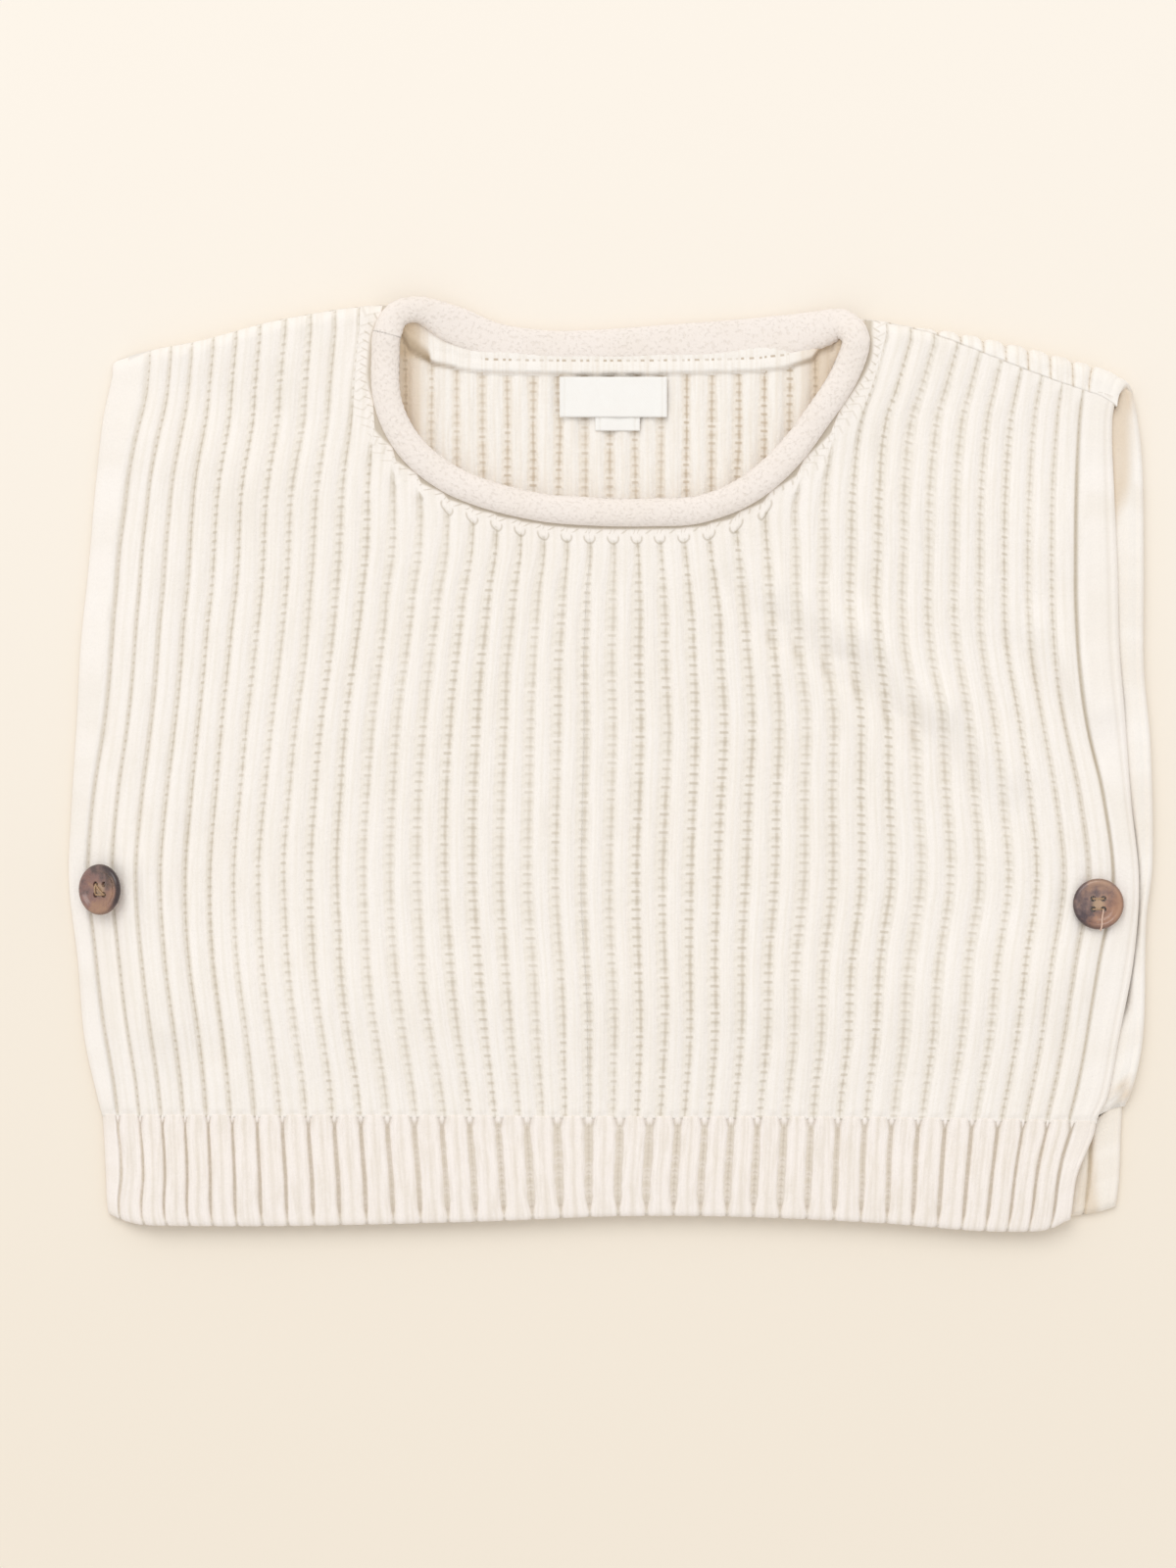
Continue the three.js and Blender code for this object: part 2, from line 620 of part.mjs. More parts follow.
// Rests a button on the crests of the front, leaning with the cloth.
function seatButton(mesh, x, y, lean) {
  const slope = Math.tan(lean);
  let height = 0;
  for (let dx = -BUTTON_RADIUS; dx <= BUTTON_RADIUS; dx += 1) {
    for (let dy = -BUTTON_RADIUS; dy <= BUTTON_RADIUS; dy += 1) {
      const leftEdge = follow(FRONT_BODY, 'y', y + dy, 'left');
      if (Math.hypot(dx, dy) > BUTTON_RADIUS || x + dx < leftEdge) continue;
      const crest = frontUnderside(x + dx, y + dy, leftEdge) + CLOTH + BODY_RIB;
      height = Math.max(height, crest + slope * dx);
    }
  }
  mesh.position.set(x, y, height + SEAM_GAP);
  mesh.rotation.y = lean;
}

// ---- the sweater --------------------------------------------------------------------

function fabric(color) {
  return new THREE.MeshStandardMaterial({ color, roughness: 0.95, metalness: 0 });
}

const KNIT = fabric(0xf3eadb);
const KNIT_BACK = fabric(0xefe5d4);
const ROLL = fabric(0xf1e6d6);
const WOVEN = fabric(0xf8f4ea);
const HORN = new THREE.MeshStandardMaterial({ color: 0x6b4a3c, roughness: 0.35, metalness: 0 });

const sweater = new THREE.Group();

function add(name, geometry, material) {
  const mesh = new THREE.Mesh(geometry, material);
  mesh.name = name;
  sweater.add(mesh);
  return mesh;
}

function addLabel(name, label, height) {
  const width = label.right - label.left;
  const length = label.top - label.bottom;
  const mesh = add(name, new THREE.BoxGeometry(width, length, label.thick), WOVEN);
  mesh.position.set((label.left + label.right) / 2, (label.bottom + label.top) / 2, height + label.thick / 2);
}

const frontCut = toSolid(frontBody()).subtract(neckCutter(FRONT_NECK, 44));
const backCut = toSolid(backBody()).subtract(neckCutter(BACK_NECK, 36));
add('back_body', toGeometry(backCut), KNIT_BACK);
add('back_hem', hem(BACK_HEM_ACROSS, BACK_HEM_EDGE, () => 0), KNIT_BACK);
add('front_body', toGeometry(frontCut), KNIT);
add('front_hem', hem(HEM_ACROSS, FRONT_HEM_EDGE, frontHemHeight), KNIT);
add('neckband', neckband(), ROLL);
addLabel('label_size', SIZE_LABEL, BACK_TOP + SEAM_GAP);
addLabel('label_main', LABEL, BACK_TOP + SEAM_GAP * 2 + SIZE_LABEL.thick);
seatButton(add('button_left', button(), HORN), -167, -40.2, -0.36);
seatButton(add('button_right', button(), HORN), 158.6, -44.9, 0);

// The origin is the bottom centre of the box round the whole sweater.
sweater.updateMatrixWorld(true);
const box = new THREE.Box3().setFromObject(sweater, true);
const centre = box.getCenter(new THREE.Vector3());
sweater.position.set(-centre.x, -centre.y, -box.min.z);

export default sweater;
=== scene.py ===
import math

import bmesh
import bpy
import numpy as np
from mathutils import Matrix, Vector


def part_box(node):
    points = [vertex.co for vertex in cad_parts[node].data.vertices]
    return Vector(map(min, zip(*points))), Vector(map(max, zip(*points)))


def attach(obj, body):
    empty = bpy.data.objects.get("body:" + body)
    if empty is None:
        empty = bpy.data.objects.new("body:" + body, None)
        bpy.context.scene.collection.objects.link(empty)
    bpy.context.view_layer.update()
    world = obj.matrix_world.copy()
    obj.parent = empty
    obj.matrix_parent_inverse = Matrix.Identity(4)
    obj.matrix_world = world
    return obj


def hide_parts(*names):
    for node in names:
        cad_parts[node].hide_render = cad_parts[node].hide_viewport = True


# A sleeveless baby sweater in chunky half-cardigan rib, laid flat with its front up. The sides
# are open, and one button on each side holds the front and back panels together.
# Lengths are in millimetres on the cloth's own axes until a mesh is made: +X to the right as it
# lies, +Y towards the neck, +Z up from the table.

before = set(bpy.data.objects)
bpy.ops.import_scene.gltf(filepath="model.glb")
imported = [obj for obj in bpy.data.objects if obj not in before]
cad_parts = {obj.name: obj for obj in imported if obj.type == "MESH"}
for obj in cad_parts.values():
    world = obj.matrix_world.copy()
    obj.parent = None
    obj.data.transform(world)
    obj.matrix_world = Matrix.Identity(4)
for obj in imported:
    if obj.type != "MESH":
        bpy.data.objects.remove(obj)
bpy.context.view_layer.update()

# ---- cloth ---------------------------------------------------------------------------
CLOTH = 2.2  # knitted wall in the bottom of a groove
BODY_RIB = 1.7  # a body rib's height over the grooves
HEM_RIB = 1.2  # a hem rib's height over its grooves
BACK_TOP = CLOTH + BODY_RIB
FRONT_FLOOR = BACK_TOP + 0.3  # lowest that the front may lie over the back
REST_LIFT = 1.2  # air that the springy knit keeps under the front
FOLD_REACH = 4.6  # how far the shoulder fold rounds forward in plan
FOLD_WALL = 3.2
QUARTER_FOLD = 7.0  # cloth length in a quarter turn of that fold
EDGE_ROLL_WIDTH = 20.0  # the front's left edge rolls down over this width
EDGE_FLOOR = 0.4
BODY_GROOVES = 39
HEM_GROOVES = 37
COURSE = 2.9  # height of one knitted row
LABEL = {"left": -17.0, "right": 18.2, "bottom": 114.2, "top": 127.4}
SIZE_LABEL = {"left": -5.4, "right": 9.3, "bottom": 109.8, "top": 119.0}

# Front panel at each height: left edge, the 1st, 10th, 20th, 30th and 39th groove, right edge.
FRONT_ROWS = np.array([
    [-115.0, -166.8, -160.6, -91.0, -7.7, 74.4, 149.6, 158.8],
    [-108.2, -168.6, -161.9, -91.8, -7.7, 74.9, 151.0, 162.2],
    [-89.0, -172.8, -165.1, -94.4, -8.3, 76.8, 154.6, 165.8],
    [-63.4, -175.0, -168.6, -97.9, -8.6, 77.4, 158.1, 170.6],
    [-37.8, -177.9, -170.9, -98.9, -9.9, 80.6, 162.5, 172.4],
    [-12.2, -177.0, -169.4, -98.2, -9.6, 81.0, 160.0, 169.9],
    [13.4, -175.4, -166.1, -96.3, -9.0, 80.6, 155.5, 168.0],
    [39.0, -174.1, -163.5, -92.8, -9.3, 78.1, 152.0, 166.0],
    [64.6, -171.5, -161.6, -89.6, -8.0, 78.1, 151.4, 165.4],
    [90.2, -169.3, -158.4, -88.6, -8.0, 78.7, 151.7, 164.3],
    [113.0, -166.8, -153.2, -85.6, -7.0, 81.5, 152.4, 163.7],
    [124.0, -164.5, -151.8, -84.7, -6.5, 85.0, 153.5, 165.8],
    [142.0, -160.5, -150.0, -83.0, -5.5, 90.0, 156.0, 168.5],
])
# How far the front's grooves wander sideways from those places at each height: the 1st, 5th,
# 10th, 15th, 20th, 25th, 30th, 36th and 39th groove.
FRONT_WANDER = (np.array([1.0, 5.0, 10.0, 15.0, 20.0, 25.0, 30.0, 36.0, 39.0]), np.array([
    [-115.0, -1.0, -2.4, -0.6, 3.0, 0.0, -1.7, 0.0, 3.2, 0.0],
    [-102.0, -0.2, -1.4, -0.2, 2.2, 0.2, -1.1, 0.0, 3.6, 0.5],
    [-82.0, -0.4, -0.6, -0.4, 0.9, 0.6, -0.7, 0.4, 3.8, 0.5],
    [-57.0, 0.0, -0.5, 0.2, 0.3, -0.2, -1.1, 1.2, 4.1, 1.2],
    [-31.0, -0.4, 0.0, 0.0, 0.2, 0.0, -1.1, 1.1, 3.7, 1.2],
    [-6.0, -0.3, 0.6, 0.8, 0.0, 0.0, -0.3, 0.4, 3.1, 0.8],
    [20.0, 0.3, 0.3, 1.0, 0.0, 0.1, 0.4, 1.0, 2.6, -0.4],
    [45.0, 0.0, -0.5, 0.6, 1.0, 0.4, 0.3, 0.2, 1.3, 0.2],
    [58.0, 0.2, -0.3, 0.0, 1.2, 0.2, -1.3, -0.2, 1.1, 0.0],
    [71.0, 0.0, -0.6, 0.0, 2.9, 0.9, -2.8, 0.2, 1.0, 0.0],
    [84.0, 0.2, -0.9, 0.3, 3.4, 0.0, -3.4, 0.0, 1.0, 0.0],
    [109.0, -1.0, -1.6, 0.5, 0.0, 0.0, 0.0, 0.0, 1.4, 0.3],
    [122.0, 0.0, -2.0, 0.5, 0.0, 0.0, 0.0, 0.0, 1.4, 0.5],
]))
# Front hem: left edge, the 1st, 10th, 19th, 28th and 37th groove, right edge.
HEM_ROWS = np.array([
    [-152.0, -162.8, -157.0, -87.2, -5.2, 73.4, 143.0, 149.2],
    [-146.6, -165.0, -159.2, -87.7, -5.4, 73.6, 144.3, 150.4],
    [-133.8, -165.8, -160.6, -88.8, -6.6, 73.6, 146.4, 152.3],
    [-121.0, -166.4, -161.2, -89.8, -7.6, 73.6, 149.2, 157.6],
    [-115.0, -166.8, -161.3, -90.0, -7.7, 73.7, 150.2, 158.8],
])
# Its grooves' wander: the 1st, 5th, 10th, 17th, 21st, 26th, 30th, 34th and 37th.
HEM_WANDER = (np.array([1.0, 5.0, 10.0, 17.0, 21.0, 26.0, 30.0, 34.0, 37.0]), np.array([
    [-152.0, -2.6, -3.2, -1.2, -2.3, -1.4, -1.8, 0.1, 1.9, 0.2],
    [-143.0, -1.6, -2.6, -1.0, -2.1, -0.9, -1.5, 0.2, 1.9, 0.0],
    [-135.0, 0.0, -1.9, -0.6, -1.8, -0.2, -0.9, 0.3, 1.9, -0.3],
    [-127.0, 0.3, -1.6, -0.6, -1.5, 1.0, -0.2, 0.2, 1.8, -0.3],
    [-119.0, -0.3, -1.6, -0.6, -1.5, 1.9, 0.4, 0.5, 1.6, 0.5],
]))
# Back panel and back hem: their edges. Their grooves are evenly spread between the bands.
BACK_ROWS = np.array([
    [-114.6, -149.0, 166.2],
    [-108.2, -150.6, 169.9],
    [-89.0, -154.8, 174.1],
    [-50.6, -158.4, 175.2],
    [-31.4, -160.0, 177.3],
    [7.0, -158.4, 176.6],
    [32.6, -156.6, 174.4],
    [64.6, -157.0, 174.4],
    [103.0, -158.0, 173.6],
    [127.0, -158.0, 170.0],
])
BACK_HEM_ROWS = np.array([
    [-147.5, -146.4, 165.0],
    [-133.8, -148.4, 166.6],
    [-121.0, -148.8, 167.0],
    [-114.6, -149.2, 167.4],
])
BACK_BANDS = (9.0, 12.0)
BACK_MIDDLE = 7.7  # the back's 20th groove, and ten ribs' width to each side of it
BACK_TEN_RIBS = 83.4
BACK_HEM_BANDS = (6.0, 10.2)
JUNCTION = np.array([
    [-170.0, -114.6],
    [-60.0, -114.8],
    [0.0, -115.1],
    [90.0, -115.4],
    [165.0, -116.8],
])
BACK_CORNER_RISE = 5.4  # the back's seam with its hem climbs by this in the right band
FRONT_HEM_EDGE = np.array([
    [-166.0, -145.4],
    [-164.0, -147.0],
    [-160.0, -148.9],
    [-154.0, -150.1],
    [-104.0, -150.3],
    [-40.0, -148.8],
    [0.0, -147.2],
    [40.0, -147.3],
    [88.0, -149.4],
    [120.0, -151.9],
    [140.0, -152.1],
    [145.0, -151.0],
    [149.5, -148.4],
])
BACK_HEM_EDGE = np.array([
    [-152.0, -143.5],
    [0.0, -144.5],
    [100.0, -146.5],
    [150.0, -147.4],
    [159.0, -146.2],
    [166.0, -144.0],
])
# Shoulder line: x, where the cloth folds, and how much of the back's cloth comes forward.
SHOULDER = np.array([
    [-166.0, 131.6, 0.0],
    [-151.0, 136.0, 0.0],
    [-134.0, 139.4, 0.0],
    [-107.0, 146.4, 0.0],
    [-71.0, 151.0, 0.0],
    [83.0, 146.2, 0.0],
    [98.0, 143.8, 1.8],
    [113.0, 141.7, 5.6],
    [137.0, 136.5, 9.8],
    [153.0, 132.2, 11.2],
    [163.0, 129.6, 10.8],
    [172.0, 124.6, 10.4],
    [178.0, 120.0, 10.2],
])
# Soft folds of the front: a line from one end to the other, its width, and its rise.
FOLDS = [
    (38, 58, 52, 45, 6, -1.2),
    (52, 45, 73, 33, 6, -1.2),
    (73, 33, 98, 11, 6, -1.2),
    (98, 11, 127, -18, 8, -1.2),
    (56, 58, 82, 43, 8, 1.8),
    (82, 43, 108, 20, 8, 2.8),
    (108, 20, 130, -2, 8, 2.2),
    (131, 39, 158, 4, 6, -1.2),
    (141, 45, 160, 20, 7, 2.2),
    (-136, -24, -128, -94, 7, -1.2),
    (-154, -34, -146, -84, 9, 2.6),
    (146, -89, 145, -93, 12, -1.2),
    (138, -66, 148, -64, 12, 1.4),
    (-146, 121, -104, 112, 11, -1.2),
    (-150, 100, -110, 94, 14, 1.0),
    (86, 102, 110, 120, 10, -1.2),
    (132, 104, 142, 98, 12, -1.2),
    (112, 84, 140, 72, 14, 1.2),
    (-30, -20, 40, -60, 34, 1.2),
    (3, -24, 8, -96, 5, -0.9),
    (52, -56, 55, -88, 5, -0.8),
    (-148, 70, -154, -20, 12, 1.2),
    (-150, -76, 140, -78, 16, 1.3),
    (-160, -116, 155, -118, 18, -1.3),
]
FRONT_NECK = [
    (-72, 165), (-73.4, 152), (-77.2, 144.5), (-78.9, 134), (-78.9, 122), (-73.4, 106),
    (-55.6, 89.4), (-27, 80), (5, 77.8), (36, 80.4), (57, 93.6), (72, 112), (83, 131),
    (84.8, 144), (84.8, 165),
]
# Lower edge of the plain strip that joins the neckband to the back's ribs.
STRIP_EDGE = [
    (-72, 143), (-68, 139.6), (-62, 133.8), (-53.5, 130.8), (-45, 129.3), (-30, 128.7), (0, 128.5),
    (30, 128.8), (50, 129.6), (60, 131.2), (66, 134), (71, 138), (77, 143),
]
STRIP_TOP = 5.2
HOLE_ROW = 4.2  # a row of holes runs this far above the strip's lower edge
# Centre of the neckband round the back, clockwise: x, y, height, half width, half thickness.
FRONT_ROLL = (9.2, 4.6, 3.6)
BACK_ROLL = [
    (-73.2, 141, 9.8, 4.6, 3.8),
    (-70.2, 147.2, 9.0, 4.3, 3.7),
    (-63.4, 149.2, 7.2, 4.3, 3.6),
    (-52, 144.6, 4.2, 6.2, 3.2),
    (-38, 139.4, 2.9, 5.8, 2.7),
    (-19, 137.8, 2.9, 4.9, 2.7),
    (29, 139.3, 2.9, 6.1, 2.7),
    (56, 140.9, 2.9, 6.9, 2.7),
    (67, 142.8, 4.2, 6.2, 3.2),
    (75.6, 144.2, 7.2, 5, 3.7),
    (79.6, 139.6, 9.8, 4.6, 3.8),
]

# The garment's axes are the frame's, moved by where the main label ended up.
label_low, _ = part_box("label_main")
TO_FRAME = np.array([
    label_low.x - LABEL["left"] * 0.001,
    label_low.y - LABEL["bottom"] * 0.001,
    label_low.z - (BACK_TOP + 1.0) * 0.001,
])


def in_frame(points):
    """Garment millimetres to metres in the frame."""
    return np.asarray(points, float) * 0.001 + TO_FRAME


# ---- curves and noise ----------------------------------------------------------------

def follow(keys, values, at):
    """A smooth curve through values at keys, level past its ends. Values may differ by point."""
    at = np.clip(np.asarray(at, float), keys[0], keys[-1])
    values = np.asarray(values, float)
    if values.ndim == 1:
        values = np.broadcast_to(values.reshape((-1,) + (1,) * at.ndim), (len(keys),) + at.shape)
    step = np.asarray(keys, float).reshape((-1,) + (1,) * at.ndim)
    slope = np.empty(values.shape)
    slope[1:-1] = (values[2:] - values[:-2]) / (step[2:] - step[:-2])
    slope[0] = (values[1] - values[0]) / (step[1] - step[0])
    slope[-1] = (values[-1] - values[-2]) / (step[-1] - step[-2])
    low = np.clip(np.searchsorted(keys, at, side="right") - 1, 0, len(keys) - 2)
    keys = np.asarray(keys, float)
    span = keys[low + 1] - keys[low]
    t = (at - keys[low]) / span

    def pick(table, i):
        return np.take_along_axis(table, i[None], 0)[0]

    return (
        (2 * t**3 - 3 * t**2 + 1) * pick(values, low)
        + (t**3 - 2 * t**2 + t) * span * pick(slope, low)
        + (3 * t**2 - 2 * t**3) * pick(values, low + 1)
        + (t**3 - t**2) * span * pick(slope, low + 1)
    )


def mix(a, b, t):
    return a + (b - a) * t


def clamp01(t):
    return np.clip(t, 0.0, 1.0)


def soft_step(t):
    t = clamp01(t)
    return t * t * (3 - 2 * t)


def through(points, steps, closed=False):
    """A centripetal curve through points, each span cut into steps."""
    p = [np.array(q, float) for q in points]
    spans = len(p) if closed else len(p) - 1
    out = []
    for i in range(spans):
        b = p[i]
        c = p[(i + 1) % len(p)]
        a = p[i - 1] if closed or i > 0 else 2 * p[0] - p[1]
        d = p[(i + 2) % len(p)] if closed or i + 2 < len(p) else 2 * p[-1] - p[-2]
        ab = max(np.sum((b - a) ** 2) ** 0.25, 1e-4)
        bc = max(np.sum((c - b) ** 2) ** 0.25, 1e-4)
        cd = max(np.sum((d - c) ** 2) ** 0.25, 1e-4)
        leave = ((b - a) / ab - (c - a) / (ab + bc) + (c - b) / bc) * bc
        arrive = ((c - b) / bc - (d - b) / (bc + cd) + (d - c) / cd) * bc
        for k in range(steps):
            t = k / steps
            out.append(
                (2 * t**3 - 3 * t**2 + 1) * b
                + (t**3 - 2 * t**2 + t) * leave
                + (3 * t**2 - 2 * t**3) * c
                + (t**3 - t**2) * arrive
            )
    if not closed:
        out.append(p[-1])
    return np.array(out)


def spread(seed, u, v, size_u, size_v):
    """Smooth seeded noise from -1 to 1 over (u, v), with patches of the given sizes."""
    table = np.random.default_rng(seed).uniform(-1, 1, (64, 64))
    a = np.asarray(u, float) / size_u + 7.3
    b = np.asarray(v, float) / size_v + 11.9
    i = np.floor(a).astype(int)
    j = np.floor(b).astype(int)
    s = soft_step(a - i)
    t = soft_step(b - j)
    low = mix(table[i % 64, j % 64], table[(i + 1) % 64, j % 64], s)
    high = mix(table[i % 64, (j + 1) % 64], table[(i + 1) % 64, (j + 1) % 64], s)
    return mix(low, high, t)


def each(seed, i, j):
    """A seeded number from -1 to 1 for every whole place (i, j)."""
    table = np.random.default_rng(seed).uniform(-1, 1, (64, 128))
    return table[np.asarray(i).astype(int) % 64, np.asarray(j).astype(int) % 128]


# ---- where the ribs run --------------------------------------------------------------

def across_front(rows, grooves, wander):
    quarter = (grooves - 1) // 4
    marks = np.array([1, 1 + quarter, (grooves + 1) / 2, grooves - quarter, grooves], float)

    def across(g, y):
        g, y = np.broadcast_arrays(np.asarray(g, float), np.asarray(y, float))
        at = [follow(rows[:, 0], rows[:, k], y) for k in range(1, 8)]
        moved = [follow(wander[1][:, 0], wander[1][:, k], y) for k in range(1, len(wander[0]) + 1)]
        inner = follow(marks, np.stack(at[1:6]), g) + follow(wander[0], np.stack(moved), g)
        at[1] = at[1] + moved[0]
        at[5] = at[5] + moved[-1]
        left = mix(at[0], at[1], g)
        right = mix(at[5], at[6], g - grooves)
        return np.where(g < 1, left, np.where(g > grooves, right, inner))

    return across


def across_back(rows, grooves, bands, middle=None):
    marks = np.array([1, 10, 20, 30, grooves], float)

    def across(g, y):
        g, y = np.broadcast_arrays(np.asarray(g, float), np.asarray(y, float))
        left = follow(rows[:, 0], rows[:, 1], y)
        right = follow(rows[:, 0], rows[:, 2], y)
        first = left + bands[0]
        last = right - bands[1]
        inner = mix(first, last, (g - 1) / (grooves - 1))
        if middle is not None:
            centre = middle + 0 * y
            ten = BACK_TEN_RIBS
            inner = follow(marks, np.stack([first, centre - ten, centre, centre + ten, last]), g)
        low = left + bands[0] * g
        high = right - bands[1] * (grooves + 1 - g)
        return np.where(g < 1, low, np.where(g > grooves, high, inner))

    return across


FRONT_ACROSS = across_front(FRONT_ROWS, BODY_GROOVES, FRONT_WANDER)
HEM_ACROSS = across_front(HEM_ROWS, HEM_GROOVES, HEM_WANDER)
BACK_ACROSS = across_back(BACK_ROWS, BODY_GROOVES, BACK_BANDS, BACK_MIDDLE)
BACK_HEM_ACROSS = across_back(BACK_HEM_ROWS, HEM_GROOVES, BACK_HEM_BANDS)


# ---- how the front lies --------------------------------------------------------------

def front_lift(x, y):
    lift = np.full(np.shape(x), REST_LIFT)
    for x1, y1, x2, y2, wide, rise in FOLDS:
        dx = x2 - x1
        dy = y2 - y1
        t = clamp01(((x - x1) * dx + (y - y1) * dy) / (dx * dx + dy * dy))
        away = np.hypot(x - x1 - dx * t, y - y1 - dy * t) / wide
        lift = lift + rise * np.exp(-away * away)
    return np.maximum(0, lift)


def front_underside(x, y, left_edge):
    kept = soft_step((x - left_edge) / EDGE_ROLL_WIDTH)
    return mix(EDGE_FLOOR, FRONT_FLOOR + front_lift(x, y), kept)


def shoulder_column(across, g, corner_rise=0.0):
    """For each place across: where its cloth starts, its flat length, and its seam."""
    y = np.full(np.shape(g), 140.0)
    for _ in range(4):
        y = follow(SHOULDER[:, 0], SHOULDER[:, 1], across(g, y))
    x = across(g, y)
    fold_start = follow(SHOULDER[:, 0], SHOULDER[:, 1], x) - FOLD_REACH
    seam = np.maximum(0, follow(SHOULDER[:, 0], SHOULDER[:, 2], x))
    start = follow(JUNCTION[:, 0], JUNCTION[:, 1], x) + corner_rise * soft_step((g - BODY_GROOVES) / 0.9)
    turn = clamp01(1 - seam / QUARTER_FOLD)
    run = np.maximum(0, seam - QUARTER_FOLD)
    return start, fold_start - start, turn, run


def front_point(g, t, thickness, outer):
    """A place on the front: t from 0 at the hem to 1 at the shoulder seam."""
    start, flat, turn, run = shoulder_column(FRONT_ACROSS, g.mean(0))
    total = flat + QUARTER_FOLD * turn - run + 0.3
    along = total * t
    flat_y = start + np.minimum(along, flat)
    angle = np.maximum(0, along - flat) / QUARTER_FOLD * math.pi / 2
    x = FRONT_ACROSS(g, flat_y)
    left_edge = follow(FRONT_ROWS[:, 0], FRONT_ROWS[:, 1], flat_y)
    under = front_underside(x, flat_y, left_edge)
    fold_floor = np.minimum(FRONT_FLOOR, under)
    if outer:
        reach = FOLD_REACH - 0.8 + 0.5 * (thickness - CLOTH)
    else:
        reach = FOLD_REACH - FOLD_WALL
    z = fold_floor + (under + thickness - fold_floor) * np.cos(angle)
    return np.stack([x, flat_y + reach * np.sin(angle), z], -1), along, total


def back_point(g, t, rise, outer):
    """A place on the back. Its outer face rests on the table and wraps over the shoulder."""
    start, flat, turn, run = shoulder_column(BACK_ACROSS, g.mean(0), BACK_CORNER_RISE)
    total = flat + QUARTER_FOLD * (2 - turn) + run + 0.3
    along = total * t
    past = np.maximum(0, along - flat)
    angle = np.minimum(past / QUARTER_FOLD, 2) * math.pi / 2
    run_on = np.maximum(0, past - 2 * QUARTER_FOLD)
    y = start + np.minimum(along, flat)
    x = BACK_ACROSS(g, y)
    lift = front_lift(x, y)
    over = soft_step(past / np.maximum(total - flat, 1.0))
    x = x - 6.2 * over * clamp01((g - 38.4) / 1.6) * soft_step(run / 4)
    if outer:
        reach = FOLD_REACH - 1.1 + 0.8 * rise
        top = FRONT_FLOOR + lift + CLOTH + rise
        bottom = 0.5 * clamp01(1 - rise / BODY_RIB)
    else:
        reach = FOLD_REACH - FOLD_WALL
        top = FRONT_FLOOR + lift
        bottom = CLOTH + rise
    z = np.where(
        angle <= math.pi / 2,
        BACK_TOP - (BACK_TOP - bottom) * np.cos(angle),
        BACK_TOP - (top - BACK_TOP) * np.cos(angle),
    )
    return np.stack([x, y + reach * np.sin(angle) - run_on, z], -1), along, total


# ---- what the stitches look like -----------------------------------------------------

# Places across a rib in stitch units: a groove takes the first and last quarter of each unit.
RIB_PLACES = [0, 0.065, 0.13, 0.19, 0.24, 0.29, 0.37, 0.5, 0.63, 0.71, 0.76, 0.81, 0.87, 0.935]
FRONT_COURSES = 90
BACK_COURSES = 96
RIB_PITCH = 8.3
HEM_PITCH = 8.7
LOOP_MIDDLE = 3.3  # the neck's linking loops: distance of their middle from its edge
CHAIN_STEP = 2.9  # along the neck, from one link of the chain to the next
TICK_STEP = 2.6
HOLE_STEP = 2.55
LOOP_RADIUS = 1.9


def laid(u, opening):
    """Where a place in stitch units lies across, in ribs, with grooves of the given half width."""
    groove = np.rint(u)
    away = np.abs(u - groove)
    inner = away / 0.25 * opening
    outer = opening + (away - 0.25) / 0.25 * (0.5 - opening)
    return groove + np.sign(u - groove) * np.where(away < 0.25, inner, outer)


def laid_panel(u, opening, last, left_share, right_share):
    """The same between the first and last groove, with plain bands outside them."""
    share = np.where(u < 1, left_share, np.where(u > last, right_share, 1.0))
    plain = (u < 0.5) | (u > last + 0.5)
    return np.where(plain, u, laid(u, np.minimum(opening * share, 0.4)))


def groove_opening(x, along, to_seam, far):
    """Half a body groove's width, in ribs: pinched at the hem, shoulder, neck and sides."""
    at = np.array([-168.0, -150.0, -128.0, -96.0, -50.0, 84.0, 118.0, 140.0, 153.0, 162.0])
    wide = follow(at, np.array([0.045, 0.09, 0.135, 0.19, 0.235, 0.235, 0.2, 0.15, 0.1, 0.09]), x)
    wide = wide * mix(0.74, 1, soft_step(along / 40))
    wide = wide * mix(0.68, 1, soft_step((to_seam - 3) / 22))
    return np.maximum(wide * mix(0.45, 1, soft_step((far - 4) / 22)), 0.034)


def shift_of(groove, seed):
    """How far a groove's stitches are moved up, in courses."""
    return 0.5 * each(seed + 3, groove, 0 * groove)


def body_relief(u, course, opening, line_at, seed):
    """Part of a body rib's height: a soft cord, and purl bumps in the groove beside it."""
    groove = np.rint(u)
    away = np.abs(u - groove)
    p = (u - groove) * 4
    q = clamp01((0.5 - away) / 0.25)
    cord = (1 - q**3.2) ** 0.7
    cord = cord - 0.05 * np.exp(-((q / 0.2) ** 2))
    purl = 0.5 + 0.5 * np.cos(2 * math.pi * course)
    tight = soft_step((opening - 0.05) / 0.11)
    line = np.exp(-(((p - line_at) / 0.34) ** 2))
    uneven = 1 + 0.5 * each(seed + 6, groove, np.floor(course))
    floor = mix(0.22, 0.47, tight) - uneven * tight * (0.13 * (1 - purl) + 0.13 * line)
    return np.where(away < 0.25, np.maximum(cord, floor), cord)


def left_band_relief(g):
    """The plain edge left of the first groove, with its faint lengthwise stitches."""
    flat = follow(np.array([0, 0.3, 0.7, 0.86, 1.0]), np.array([0.5, 0.8, 0.85, 0.75, 0.1]), g)
    return flat + 0.05 * np.cos(g * 2 * math.pi * 4) * soft_step((1 - g) * 4)


